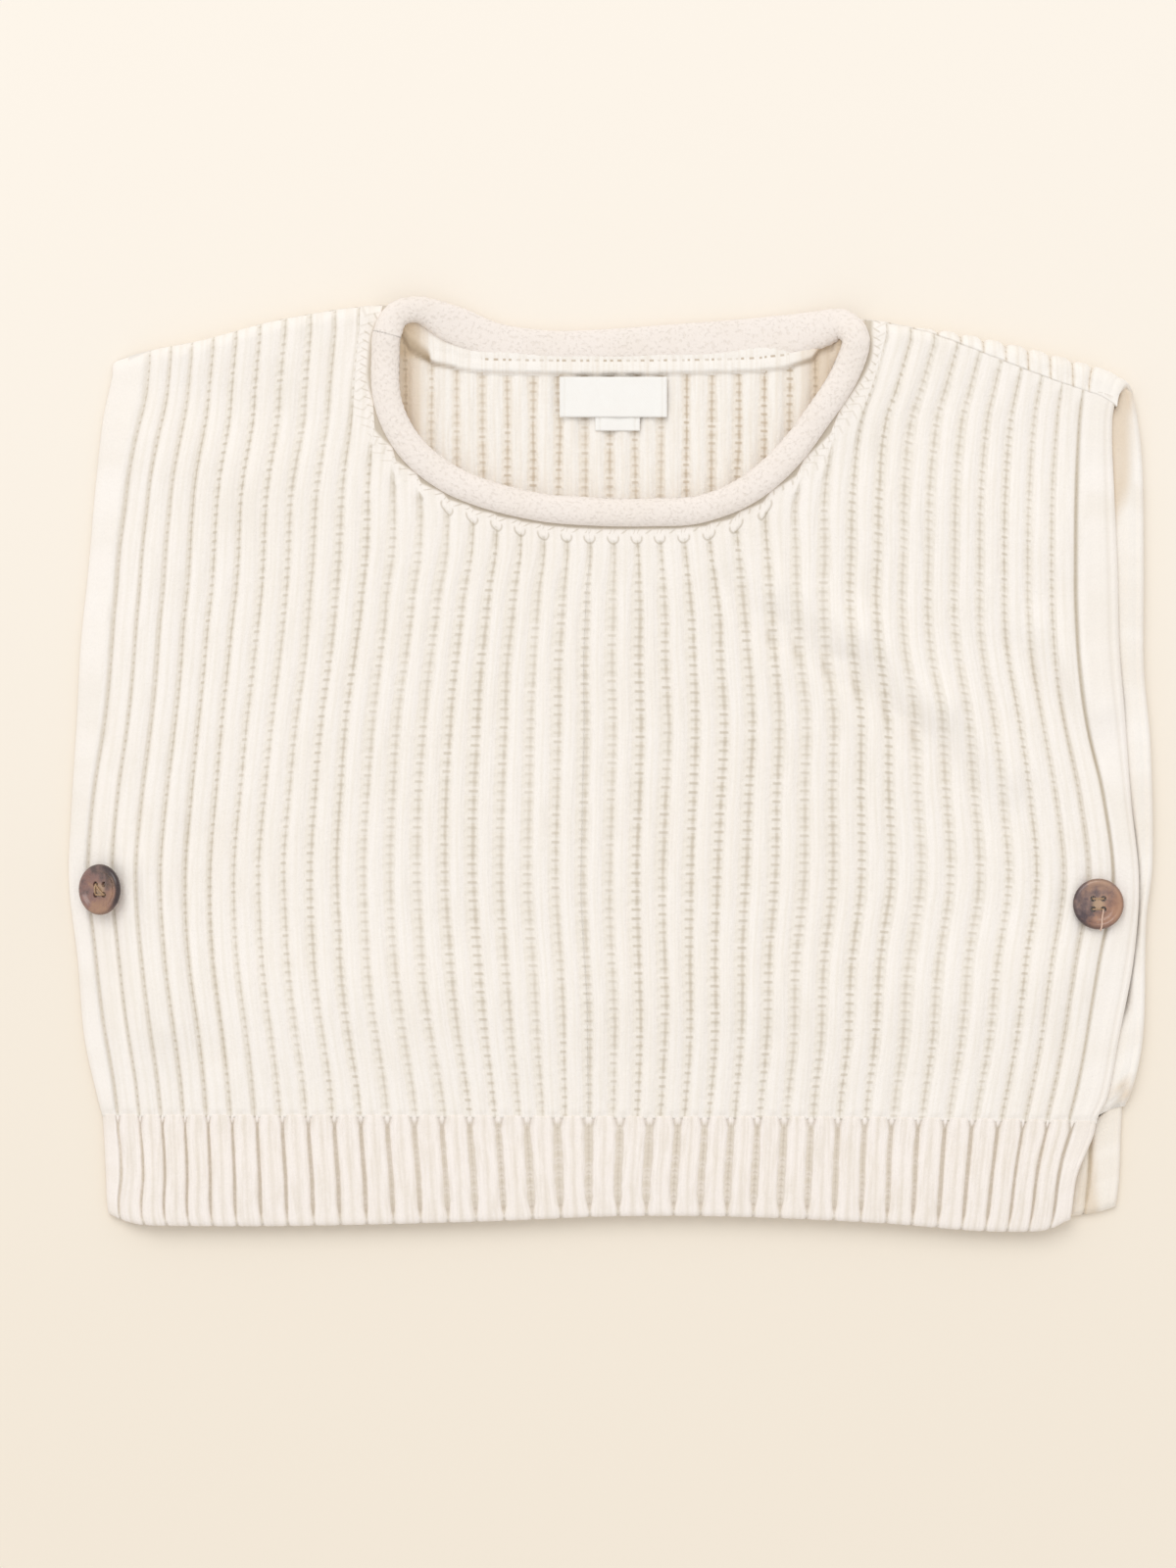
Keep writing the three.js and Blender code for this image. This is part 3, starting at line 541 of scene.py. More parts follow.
def right_band_relief(g):
    """The plain edge right of the last groove, which ends in a thin cord."""
    keys = np.array([0, 0.08, 0.2, 0.45, 0.68, 0.77, 0.86, 0.95, 1.0])
    flat = follow(keys, np.array([0.1, 0.7, 0.9, 0.85, 0.82, 0.6, 0.86, 0.75, 0.5]), g)
    wales = 0.05 * np.cos(g * 2 * math.pi * 5.5) * soft_step((0.74 - g) * 8) * soft_step(g * 5)
    return flat + wales


def panel_relief(u, course, opening, line_at, seed):
    ribbed = body_relief(u, course, opening, line_at, seed)
    left = left_band_relief(clamp01(u))
    right = right_band_relief(clamp01(u - BODY_GROOVES))
    ribbed = np.where((u < 1) & (u > 0.75), np.minimum(ribbed, left + 0.1), ribbed)
    return np.where(u < 0.75, left, np.where(u > BODY_GROOVES + 0.25, right, ribbed))


HEM_PLACES = [0, 0.1, 0.18, 0.23, 0.258, 0.285, 0.315, 0.345, 0.375, 0.405, 0.435, 0.468, 0.5,
              0.532, 0.565, 0.595, 0.625, 0.655, 0.685, 0.715, 0.742, 0.77, 0.82, 0.9]


def hem_opening(x, up, above):
    """Half a hem groove's width, in ribs: tight at the sides, forked above, closed below."""
    at = np.array([-165.0, -110.0, -70.0, -20.0, 60.0, 110.0, 150.0])
    half = follow(at, np.array([0.035, 0.055, 0.08, 0.125, 0.115, 0.07, 0.045]), x)
    half = half * mix(0.8, 1, soft_step((up - 1) / 9)) + 0.06 * clamp01(1 - up / 2.4)
    return np.maximum(half * mix(0.2, 1, soft_step((above - 1.2) / 6)), 0.022)


def hem_relief(u, opening, up, above):
    """Broad smooth hem ribs with faint wales, and a shallow floor in the wider grooves."""
    away = np.abs(u - np.rint(u))
    q = (0.5 - away) / 0.25
    rise = (1 - clamp01(q) ** 7) ** 0.6
    wales = 0.09 * np.cos(2 * math.pi * q * 2.6) * soft_step((0.9 - q) * 6)
    teeth = 0.12 * np.cos(2 * math.pi * q * 2.6) * clamp01(1 - above / 3.0)
    floor = mix(0.1, 0.5, soft_step((opening - 0.05) / 0.07))
    floor = mix(floor, 0.8, clamp01(1 - above / 3.2))
    floor = mix(floor, 0.7, soft_step(1.2 - up / 2.6) * (q > 1.3))
    return np.where(away < 0.25, np.maximum(rise, floor), rise + wales + teeth)


# ---- making cloth --------------------------------------------------------------------

def in_outline(x, y, outline):
    inside = np.zeros(x.shape, bool)
    near = (x > outline[:, 0].min()) & (x < outline[:, 0].max()) & (y > outline[:, 1].min())
    px = x[near]
    py = y[near]
    hit = np.zeros(px.shape, bool)
    for a, b in zip(outline, np.roll(outline, -1, 0)):
        if a[1] == b[1]:
            continue
        crosses = (a[1] > py) != (b[1] > py)
        hit ^= crosses & (px < a[0] + (py - a[1]) / (b[1] - a[1]) * (b[0] - a[0]))
    inside[near] = hit
    return inside


def nearest_on(outline, x, y):
    """The closest place on an open line: its x, y, length along the line, and distance."""
    start = outline[:-1]
    step = outline[1:] - start
    length = np.hypot(step[:, 0], step[:, 1])
    before = np.concatenate([[0], np.cumsum(length)[:-1]])
    rx = x[:, None] - start[None, :, 0]
    ry = y[:, None] - start[None, :, 1]
    t = clamp01((rx * step[None, :, 0] + ry * step[None, :, 1]) / (length**2)[None])
    d = np.hypot(rx - t * step[None, :, 0], ry - t * step[None, :, 1])
    best = d.argmin(1)
    row = np.arange(len(x))
    t = t[row, best]
    at = start[best] + step[best] * t[:, None]
    return at[:, 0], at[:, 1], before[best] + t * length[best], d[row, best]


def distance_outside(outline, x, y, limit):
    """How far out each place is from the neck's edge, up to a limit, and how far along it."""
    far = np.full(x.shape, float(limit))
    along = np.zeros(x.shape)
    low = outline.min(0) - limit
    high = outline.max(0) + limit
    near = (x > low[0]) & (x < high[0]) & (y > low[1]) & (y < high[1])
    if near.any():
        found = nearest_on(outline[::3], x[near], y[near])
        closed = np.concatenate([outline[::3], [[outline[-1, 0], 400], [outline[0, 0], 400]]])
        within = in_outline(x[near], y[near], closed)
        far[near] = np.minimum(np.where(within, -found[3], found[3]), limit)
        along[near] = found[2]
    return far, along


class Face:
    """One side of a piece of cloth: rows of places from hem to neck, each from left to right."""

    def __init__(self, points, g, t, fields, cut=None):
        self.points = points
        self.g = (g - g.min()) / (g.max() - g.min())
        self.t = t
        self.fields = fields
        rows, columns = points.shape[:2]
        index = np.arange(rows * columns).reshape(rows, columns)
        quads = np.stack([index[:-1, :-1], index[:-1, 1:], index[1:, 1:], index[1:, :-1]], -1)
        quads = quads.reshape(-1, 4)
        self.cut = np.zeros(rows * columns, bool)
        self.neck_at = np.zeros(rows * columns)
        if cut is not None:
            flat = points.reshape(-1, 3)
            closed = np.concatenate([cut, [[cut[-1, 0], 400], [cut[0, 0], 400]]])
            inside = in_outline(flat[:, 0], flat[:, 1], closed)
            quads = quads[inside[quads].sum(1) < 4]
            used = np.zeros(len(flat), bool)
            used[quads.ravel()] = True
            snap = np.nonzero(inside & used)[0]
            x, y, at, _ = nearest_on(cut, flat[snap, 0], flat[snap, 1])
            flat[snap, 0] = x
            flat[snap, 1] = y
            self.cut[snap] = True
            self.neck_at[snap] = at
        self.quads = quads
        self.shape = (rows, columns)

    def loop(self):
        """The places round the edge, with how far round each one is, from the lower left."""
        rows, columns = self.shape
        q = self.quads
        sides = np.concatenate([q[:, [0, 1]], q[:, [1, 2]], q[:, [2, 3]], q[:, [3, 0]]])
        keys = sides[:, 0].astype(np.int64) * (rows * columns) + sides[:, 1]
        turned = sides[:, 1].astype(np.int64) * (rows * columns) + sides[:, 0]
        edge = sides[~np.isin(keys, turned)]
        after = dict(edge.tolist())
        walk = [0]
        while after[walk[-1]] != 0:
            walk.append(after[walk[-1]])
        keys = []
        for i in walk:
            r, c = divmod(i, columns)
            if self.cut[i]:
                keys.append(None)
            elif r == 0:
                keys.append(self.g[c])
            elif c == columns - 1:
                keys.append(1 + self.t[r])
            elif r == rows - 1:
                keys.append(3 - self.g[c])
            else:
                keys.append(4 - self.t[r])
        open_run = [n for n, key in enumerate(keys) if key is None]
        if open_run:
            first, last = open_run[0], open_run[-1]
            begin = keys[first - 1]
            end = keys[last + 1] if last + 1 < len(keys) else 4.0
            at = self.neck_at[[walk[n] for n in range(first, last + 1)]]
            part = np.maximum.accumulate((at[0] - at) / max(at[0] - at[-1], 1e-6) if at[0] > at[-1]
                                         else (at - at[0]) / max(at[-1] - at[0], 1e-6))
            for n, p in zip(range(first, last + 1), part):
                keys[n] = begin + (end - begin) * (0.001 + 0.998 * p)
        return walk, keys


def join_edges(upper, lower, offset):
    """Triangles of the narrow wall between two faces' edges."""
    walk_a, keys_a = upper.loop()
    walk_b, keys_b = lower.loop()
    walk_a = walk_a + walk_a[:1]
    walk_b = walk_b + walk_b[:1]
    keys_a = keys_a + [4.0]
    keys_b = keys_b + [4.0]
    i = 0
    j = 0
    out = []
    while i < len(walk_a) - 1 or j < len(walk_b) - 1:
        on_a = j == len(walk_b) - 1 or (i < len(walk_a) - 1 and keys_a[i + 1] <= keys_b[j + 1])
        if on_a:
            out.append((walk_a[i], walk_b[j] + offset, walk_a[i + 1]))
            i += 1
        else:
            out.append((walk_a[i], walk_b[j] + offset, walk_b[j + 1] + offset))
            j += 1
    return np.array(out)


def mesh_object(name, points, quads, triangles, fields, places):
    """An object from arrays in garment millimetres, with its fields kept on the points."""
    used = np.zeros(len(points), bool)
    used[quads.ravel()] = True
    if len(triangles):
        used[triangles.ravel()] = True
    new = np.cumsum(used) - 1
    quads = new[quads]
    corners = quads.ravel()
    starts = np.arange(len(quads)) * 4
    if len(triangles):
        triangles = new[triangles]
        starts = np.concatenate([starts, len(corners) + np.arange(len(triangles)) * 3])
        corners = np.concatenate([corners, triangles.ravel()])
    mesh = bpy.data.meshes.new(name)
    mesh.vertices.add(int(used.sum()))
    mesh.vertices.foreach_set("co", in_frame(points[used]).astype(np.float32).ravel())
    mesh.loops.add(len(corners))
    mesh.loops.foreach_set("vertex_index", corners.astype(np.int32))
    mesh.polygons.add(len(starts))
    mesh.polygons.foreach_set("loop_start", starts.astype(np.int32))
    mesh.update(calc_edges=True)
    mesh.validate()
    mesh.shade_smooth()
    for key, values in fields.items():
        kind, part = ("FLOAT", "value") if values.ndim == 1 else ("FLOAT_VECTOR", "vector")
        layer = mesh.attributes.new(key, kind, "POINT")
        layer.data.foreach_set(part, values[used].astype(np.float32).ravel())
    layer = mesh.uv_layers.new(name="stitches")
    order = np.empty(len(mesh.loops), np.int32)
    mesh.loops.foreach_get("vertex_index", order)
    layer.data.foreach_set("uv", places[used][order].astype(np.float32).ravel())
    piece = bpy.data.objects.new(name, mesh)
    bpy.context.scene.collection.objects.link(piece)
    return piece


def cloth(name, upper, lower):
    """A closed piece of cloth from its upper and lower faces."""
    offset = upper.points.shape[0] * upper.points.shape[1]
    points = np.concatenate([upper.points.reshape(-1, 3), lower.points.reshape(-1, 3)])
    quads = np.concatenate([upper.quads, lower.quads[:, ::-1] + offset])
    wall = join_edges(upper, lower, offset)
    fields = {}
    for key in ("relief", "shade", "warm", "near", "run", "holes"):
        width = upper.fields[key].shape[2:]
        both = [side.fields[key].reshape(-1, *width) for side in (upper, lower)]
        fields[key] = np.concatenate(both)
    places = [side.fields["place"].reshape(-1, 2) for side in (upper, lower)]
    return mesh_object(name, points, quads, wall, fields, np.concatenate(places))


def lip(distance, radius, least=0.35):
    """Rounds cloth over towards an edge: from least at the edge to 1 past the radius."""
    x = clamp01(distance / radius)
    return least + (1 - least) * np.sqrt(1 - (1 - x) ** 2)


def face_fields(u, course, relief, shade, warm=0.0, near=(9.0, 99.0, 0.0), run=0.0, holes=9.0):
    """Fields for a finish: place in stitches, height, darkness (mostly painted shade, also dark seam and
    tacking lines), painted warm shade, and place at the neck.

    near is the distance from the groove's middle and from the neck's edge, both in millimetres,
    and where the groove's dark line runs. run is the distance along the neck's edge, and holes
    the distance from a row of holes.
    """
    flat = np.zeros(relief.shape)
    return {
        "place": np.stack([u + flat, course + flat], -1),
        "relief": relief,
        "shade": shade + flat,
        "warm": warm + flat,
        "near": np.stack([part + flat for part in near], -1),
        "run": run + flat,
        "holes": holes + flat,
    }


FRONT_EDGE_LINE = through(FRONT_NECK, 24)


def moved_inward(line, by):
    step = np.gradient(line, axis=0)
    step /= np.linalg.norm(step, axis=1)[:, None]
    return line + by * np.stack([-step[:, 1], step[:, 0]], -1)


# The cloth goes on under the roll, so that no gap shows between them.
FRONT_CUT = moved_inward(FRONT_EDGE_LINE, 2.2)
BACK_CUT = through([(-74.5, 165), (-74, 150), *[p[:2] for p in BACK_ROLL[1:-1]], (80, 150), (81, 165)], 24)
STRIP_LINE = through(STRIP_EDGE, 12)


def rib_places(first, last, per_rib):
    """Places across from one groove to another, closer together where the cloth turns."""
    places = []
    for rib in range(first, last):
        if rib == 0:
            steps = [0, 0.015, 0.04, 0.08, 0.14, 0.22, 0.3, 0.38, 0.46, 0.54, 0.62, 0.7, 0.78, 0.86, 0.94]
        elif rib == BODY_GROOVES:
            steps = list(np.linspace(0, 0.96, 25)) + [0.98, 0.992]
        else:
            steps = per_rib(rib)
        places += [rib + step for step in steps]
    return np.array(places + [float(last)])


def stitch_columns(u):
    """1 in a groove, falling to 0 on the middle of a rib."""
    return soft_step((0.5 - np.abs(u - np.rint(u))) / 0.2)


def plain_in_bands(u, last):
    """Stitch places for the finish, held on a rib in the plain bands."""
    return np.where(u < 0.625, 0.625, np.where(u > last + 0.375, last + 0.375, u))


def distance_from(start, end, x, y):
    """The distance of each place from a straight line between two points."""
    dx = end[0] - start[0]
    dy = end[1] - start[1]
    t = clamp01(((x - start[0]) * dx + (y - start[1]) * dy) / (dx * dx + dy * dy))
    return np.hypot(x - start[0] - dx * t, y - start[1] - dy * t)


def front_half(name, first, last):
    rows = FRONT_COURSES * 4 + 1
    u = rib_places(first, last, lambda rib: RIB_PLACES)[None]
    t = np.linspace(0, 1, rows)[:, None]
    flat_points, along, total = front_point(u, t, CLOTH, True)
    x = flat_points[..., 0]
    y = flat_points[..., 1]
    to_seam = total - along
    far, round_neck = distance_outside(FRONT_EDGE_LINE, x, y, 27.0)
    groove = np.rint(u)
    opening = groove_opening(x, along, to_seam, far)
    opening = opening * (1 + 0.12 * spread(101, groove * 5.3, along, 1.0, 30.0))
    opening = np.where(groove >= BODY_GROOVES, 0.036, opening)
    left_width = FRONT_ACROSS(1.0, y) - FRONT_ACROSS(0.0, y)
    right_width = FRONT_ACROSS(40.0, y) - FRONT_ACROSS(39.0, y)
    g = laid_panel(u, opening, BODY_GROOVES, RIB_PITCH / left_width, RIB_PITCH / right_width)
    course = t * FRONT_COURSES + shift_of(groove, 100) * stitch_columns(u)
    line_at = mix(0.34, -0.1, soft_step((x - 20) / 80))
    line_at = line_at + 0.14 * spread(102, groove * 3.7, course, 1.0, 7.0)
    rise = panel_relief(u, course, opening, line_at, 100)
    rise = mix(0.88, rise, soft_step((to_seam - 0.4) / 6))
    rise = mix(0.42, rise, soft_step((along - 0.5) / 2.4))
    steep = soft_step((y - 84) / 18)
    from_groove = np.abs(g - groove) * RIB_PITCH
    ring = np.abs(np.hypot(from_groove, np.maximum(far - LOOP_MIDDLE, 0)) - LOOP_RADIUS)
    loops = np.exp(-((ring / 0.42) ** 2)) * soft_step((far - 2.0) / 1.2) * (1 - steep)
    chain = np.abs(np.mod(round_neck / 2.9 + np.abs(far - 3.1) / 3.4, 1) - 0.5) * 2
    chain = clamp01(1 - chain / 0.4) * clamp01(1.3 - np.abs(far - 3.1) / 1.8) * steep
    strip = 0.88 - 0.3 * loops - 0.1 * chain
    rise = mix(strip, rise, soft_step((far - 4.7) / (1.4 + 5 * steep)))
    rise = mix(0.66, rise, soft_step((far + 0.4) / 1.6))
    in_groove = (np.abs(u - groove) < 0.25) & (u > 0.5) & (u < BODY_GROOVES + 0.5)
    # Painted shade: narrow grooves, the grooves along the creases and the last groove are darkened in
    # colour where shade falls in them, and so is the small dip at 0.77 of the right band.
    tight = 1 - soft_step((opening - 0.05) / 0.11)
    side_part = mix(0.66, 1, soft_step((x + 160) / 60))
    shade = 0.46 * side_part * tight * in_groove * soft_step((far - 5) / 2) * soft_step((to_seam - 1.5) / 4)
    shade = shade * soft_step(along / 1.2) * mix(0.45, 1, soft_step((to_seam - 6) / 34))
    crease = np.minimum(distance_from((50, 43), (73, 31), x, y), distance_from((73, 31), (100, 9), x, y))
    pinched = np.exp(-((((u - groove) * 4 + 0.5) / 0.35) ** 2))
    shade = shade + 0.5 * np.exp(-((crease / 2.6) ** 2)) * in_groove * pinched
    left_crease = distance_from((-136, -24), (-128, -94), x, y)
    right_crease = distance_from((131, 39), (158, 2), x, y)
    creases = 0.3 * np.exp(-((left_crease / 5) ** 2)) + 0.4 * np.exp(-((right_crease / 5) ** 2))
    shade = shade + creases * in_groove * np.exp(-((((u - groove) * 4) / 0.6) ** 2))
    last_groove = (u > BODY_GROOVES - 0.25) & (u < BODY_GROOVES + 0.25)
    shade = shade + 0.24 * last_groove * soft_step((y + 90) / 60)
    shade = shade + 0.16 * np.exp(-(((u - BODY_GROOVES - 0.77) / 0.05) ** 2))
    shade = np.maximum(shade, 0.12 * (1 - clamp01(to_seam / 0.5)))
    from_side = np.minimum(u * left_width, (40 - u) * right_width)
    thickness = (CLOTH + BODY_RIB * rise) * lip(from_side, 1.6)
    sway = 0.025 * spread(31, u, along, 1.6, 45.0) * soft_step(np.minimum(u, 40 - u) - 0.6)
    points, along, total = front_point(g + sway, t, thickness, True)
    near = (from_groove + 9 * steep, far, line_at)
    fields = face_fields(plain_in_bands(u, BODY_GROOVES), course, rise, shade, 0.0, near, round_neck)
    upper = Face(points, u[0], t[:, 0], fields, FRONT_CUT)
    g_low = np.arange(first, last + 1.0)
    if first == 0:
        g_low = np.concatenate([[0, 0.3, 0.6], g_low[1:]])
    g_low = g_low[None]
    t_low = np.linspace(0, 1, 70)[:, None]
    low, along_low, _ = front_point(g_low, t_low, 0.0 * t_low * g_low, False)
    plain = np.full(low.shape[:2], 0.7)
    fields = face_fields(g_low + 0.5, along_low / COURSE, plain, 0.0)
    lower = Face(low, g_low[0], t_low[:, 0], fields, FRONT_CUT)
    return cloth(name, upper, lower)


def raised_to_roll(points, height_over):
    """Lifts the back's neck edge to the roll, which climbs to the shoulders at its ends."""
    x = points[..., 0]
    y = points[..., 1]
    line = through([p[:2] for p in BACK_ROLL], 16)
    heights = through([p[:3] for p in BACK_ROLL], 16)[:, 2]
    near = (y > 118) & (np.abs(x) < 84)
    _, _, along, far = nearest_on(line, x[near], y[near])
    run = np.concatenate([[0], np.cumsum(np.hypot(*np.diff(line, axis=0).T))])
    height = np.interp(along, run, heights)
    inside = nearest_on(FRONT_EDGE_LINE[::3], x[near], y[near])[3]
    closed = np.concatenate([FRONT_EDGE_LINE, [[84.8, 400], [-78.6, 400]]])
    within = in_outline(x[near], y[near], closed)
    part = soft_step(1 - far / 13) * np.where(within, soft_step((inside - 1.5) / 5), 0)
    z = points[..., 2]
    lift = np.maximum(height - height_over - z[near], 0) * part
    z[near] = z[near] + lift
    return points


def into_strip(x, y):
    """How far each place of the back is above the strip's lower edge, and how far along it."""
    depth = np.full(x.shape, -9.0)
    along = np.zeros(x.shape)
    near = (y > 118) & (y < 160) & (x > -76) & (x < 80)
    closed = np.concatenate([STRIP_LINE, [[80, 146], [80, 400], [-76, 400], [-76, 146]]])
    found = nearest_on(STRIP_LINE, x[near], y[near])
    inside = in_outline(x[near], y[near], closed)
    depth[near] = np.where(inside, 1, -1) * found[3]
    along[near] = found[2]
    return depth, along


# Small forms at the back's lower right corner: the place, and how far it reaches each way. The hollow and
# the crease are also darkened with painted shade.
BACK_KNOT = (165, -109.6, 2.6, 1.8)
BACK_HOLLOW = (168, -106, 3, 2.4)
BACK_CREASE = (168.6, -76, 1.6, 5)


def spot(x, y, form):
    """1 at a small form's place, fading to 0 round it."""
    at_x, at_y, wide, long = form
    return np.exp(-(((x - at_x) / wide) ** 2) - ((y - at_y) / long) ** 2)


def back_piece(name):
    def inside_places(rib):
        seen = 9 <= rib <= 31 or rib >= 38
        return RIB_PLACES if seen else [0, 0.24, 0.5, 0.76]

    def outside_places(rib):
        return RIB_PLACES if rib >= 29 else [0, 0.24, 0.5, 0.76]

    def side_lip(u):
        return lip(np.minimum(u * BACK_BANDS[0], (40 - u) * BACK_BANDS[1]), 1.5, 0.5)

    u = rib_places(0, 40, inside_places)[None]
    fine = 28 * 4
    t = np.arange(BACK_COURSES * 4 + 1) / (BACK_COURSES * 4)
    t = np.concatenate([t[:-fine - 1:6], t[-fine - 1:]])[:, None]
    flat_points, along, total = back_point(u, t, 0.0 * u * t, False)
    x = flat_points[..., 0]
    y = flat_points[..., 1]
    groove = np.rint(u)
    opening = 0.19 * (1 + 0.22 * spread(301, groove * 5.3, along, 1.0, 16.0))
    opening = opening * mix(0.75, 1, soft_step((66 - np.abs(x - 4)) / 24))
    g = laid_panel(u, opening, BODY_GROOVES, 0.9, 0.7)
    course = t * BACK_COURSES + shift_of(groove, 300) * stitch_columns(u)
    line_at = 0.1 + 0.3 * spread(302, groove * 3.7, course, 1.0, 5.0)
    rise = panel_relief(u, course, opening, line_at, 300)
    to_seam = total - along
    rise = rise * clamp01((to_seam - 12) / 4) * mix(0.6, 1, soft_step(along / 2))
    depth, strip_along = into_strip(x, y)
    strip_rise = (STRIP_TOP - CLOTH) / BODY_RIB
    rise = mix(rise, strip_rise, soft_step((depth + 0.5) / 1.1))
    rise = rise - 0.14 * np.exp(-(((depth - HOLE_ROW) / 0.6) ** 2))
    front_edge = follow(FRONT_ROWS[:, 0], FRONT_ROWS[:, 7], y)
    shown = soft_step((x - front_edge + 0.6) / 1.8) * soft_step((134 - y) / 10)
    knot = 1.3 * spot(x, y, BACK_KNOT)
    hollow = spot(x, y, BACK_HOLLOW)
    crease = spot(x, y, BACK_CREASE)
    lifted = 2.0 * shown * mix(0.15, 1, soft_step(along / 6))
    thick = CLOTH + BODY_RIB * rise + lifted + knot - 1.4 * hollow - 1.2 * crease
    thick = thick * side_lip(u) - CLOTH
    points, along, total = back_point(g, t, thick, False)
    points = raised_to_roll(points, 0.6)
    # Painted shade: a dark line along the strip's lower edge, heavier in the neck's corners, and along the
    # fold at the left corner; painted warm shade in the neck's inner corners, in the gap under the front's
    # right edge and in the hollow at the lower right; painted shade along the crease there.
    corner = np.maximum(soft_step((-47 - x) / 10), soft_step((x - 56) / 8))
    edge_line = np.exp(-(((depth + 0.1) / mix(0.4, 0.8, corner)) ** 2))
    shade = mix(0.14, 0.7, corner) * edge_line
    in_neck = (np.abs(x - 3) < 82) & (y > 60)
    left_corner = mix(0.55, 0.8, soft_step((y - 132) / 4)) * soft_step((-59.5 - x) / 6)
    left_corner = left_corner * soft_step((y - 98) / 12)
    left_fold = distance_from((-68, 141.5), (-60.5, 134), x, y)
    shade = shade + 0.9 * np.exp(-((left_fold / 1.3) ** 2))
    right_corner = 0.55 * soft_step((x - 58) / 12) * soft_step((y - 100) / 14)
    lens = mix(1.6, 8.2, soft_step((y - 70) / 30))
    under_front = 0.52 * soft_step((front_edge + lens - x) / 4.5) * soft_step((y - 44) / 34) * (x > 120)
    warm = np.maximum(left_corner, right_corner) * in_neck + under_front + 0.8 * hollow
    shade = shade + 0.3 * crease
    far = np.where(depth > -0.8, 3.0, 99.0)
    fields = face_fields(plain_in_bands(u, BODY_GROOVES), course, clamp01(rise), shade, warm,
                         (6.0, far, line_at), strip_along,
                         (depth - HOLE_ROW) * np.where((x > -43) & (x < 58), 1, 40))
    inner = Face(points, u[0], t[:, 0], fields, BACK_CUT)

    u = rib_places(0, 40, outside_places)[None]
    fine = 14 * 4
    t = np.arange(BACK_COURSES * 4 + 1) / (BACK_COURSES * 4)
    t = np.concatenate([t[:-fine - 1:8], t[-fine - 1:]])[:, None]
    flat_points, along, total = back_point(u, t, 0.0 * u * t, True)
    groove = np.rint(u)
    course = t * BACK_COURSES + shift_of(groove, 400) * stitch_columns(u)
    to_seam = total - along
    opening = 0.065 + 0.08 * soft_step((to_seam - 30) / 20) + 0 * course
    g = laid_panel(u, opening, BODY_GROOVES, 0.9, 0.7)
    rise = panel_relief(u, course, opening, 0.0 * course, 400)
    rise = mix(0.88, rise, soft_step((to_seam - 0.6) / 3))
    points, along, total = back_point(g, t, BODY_RIB * rise, True)
    points = raised_to_roll(points, 3.4)
    shade = 0.12 * (1 - clamp01(to_seam / 0.5))
    fields = face_fields(plain_in_bands(u, BODY_GROOVES), course, rise, shade)
    outer = Face(points, u[0], t[:, 0], fields, BACK_CUT)
    return cloth(name, inner, outer)


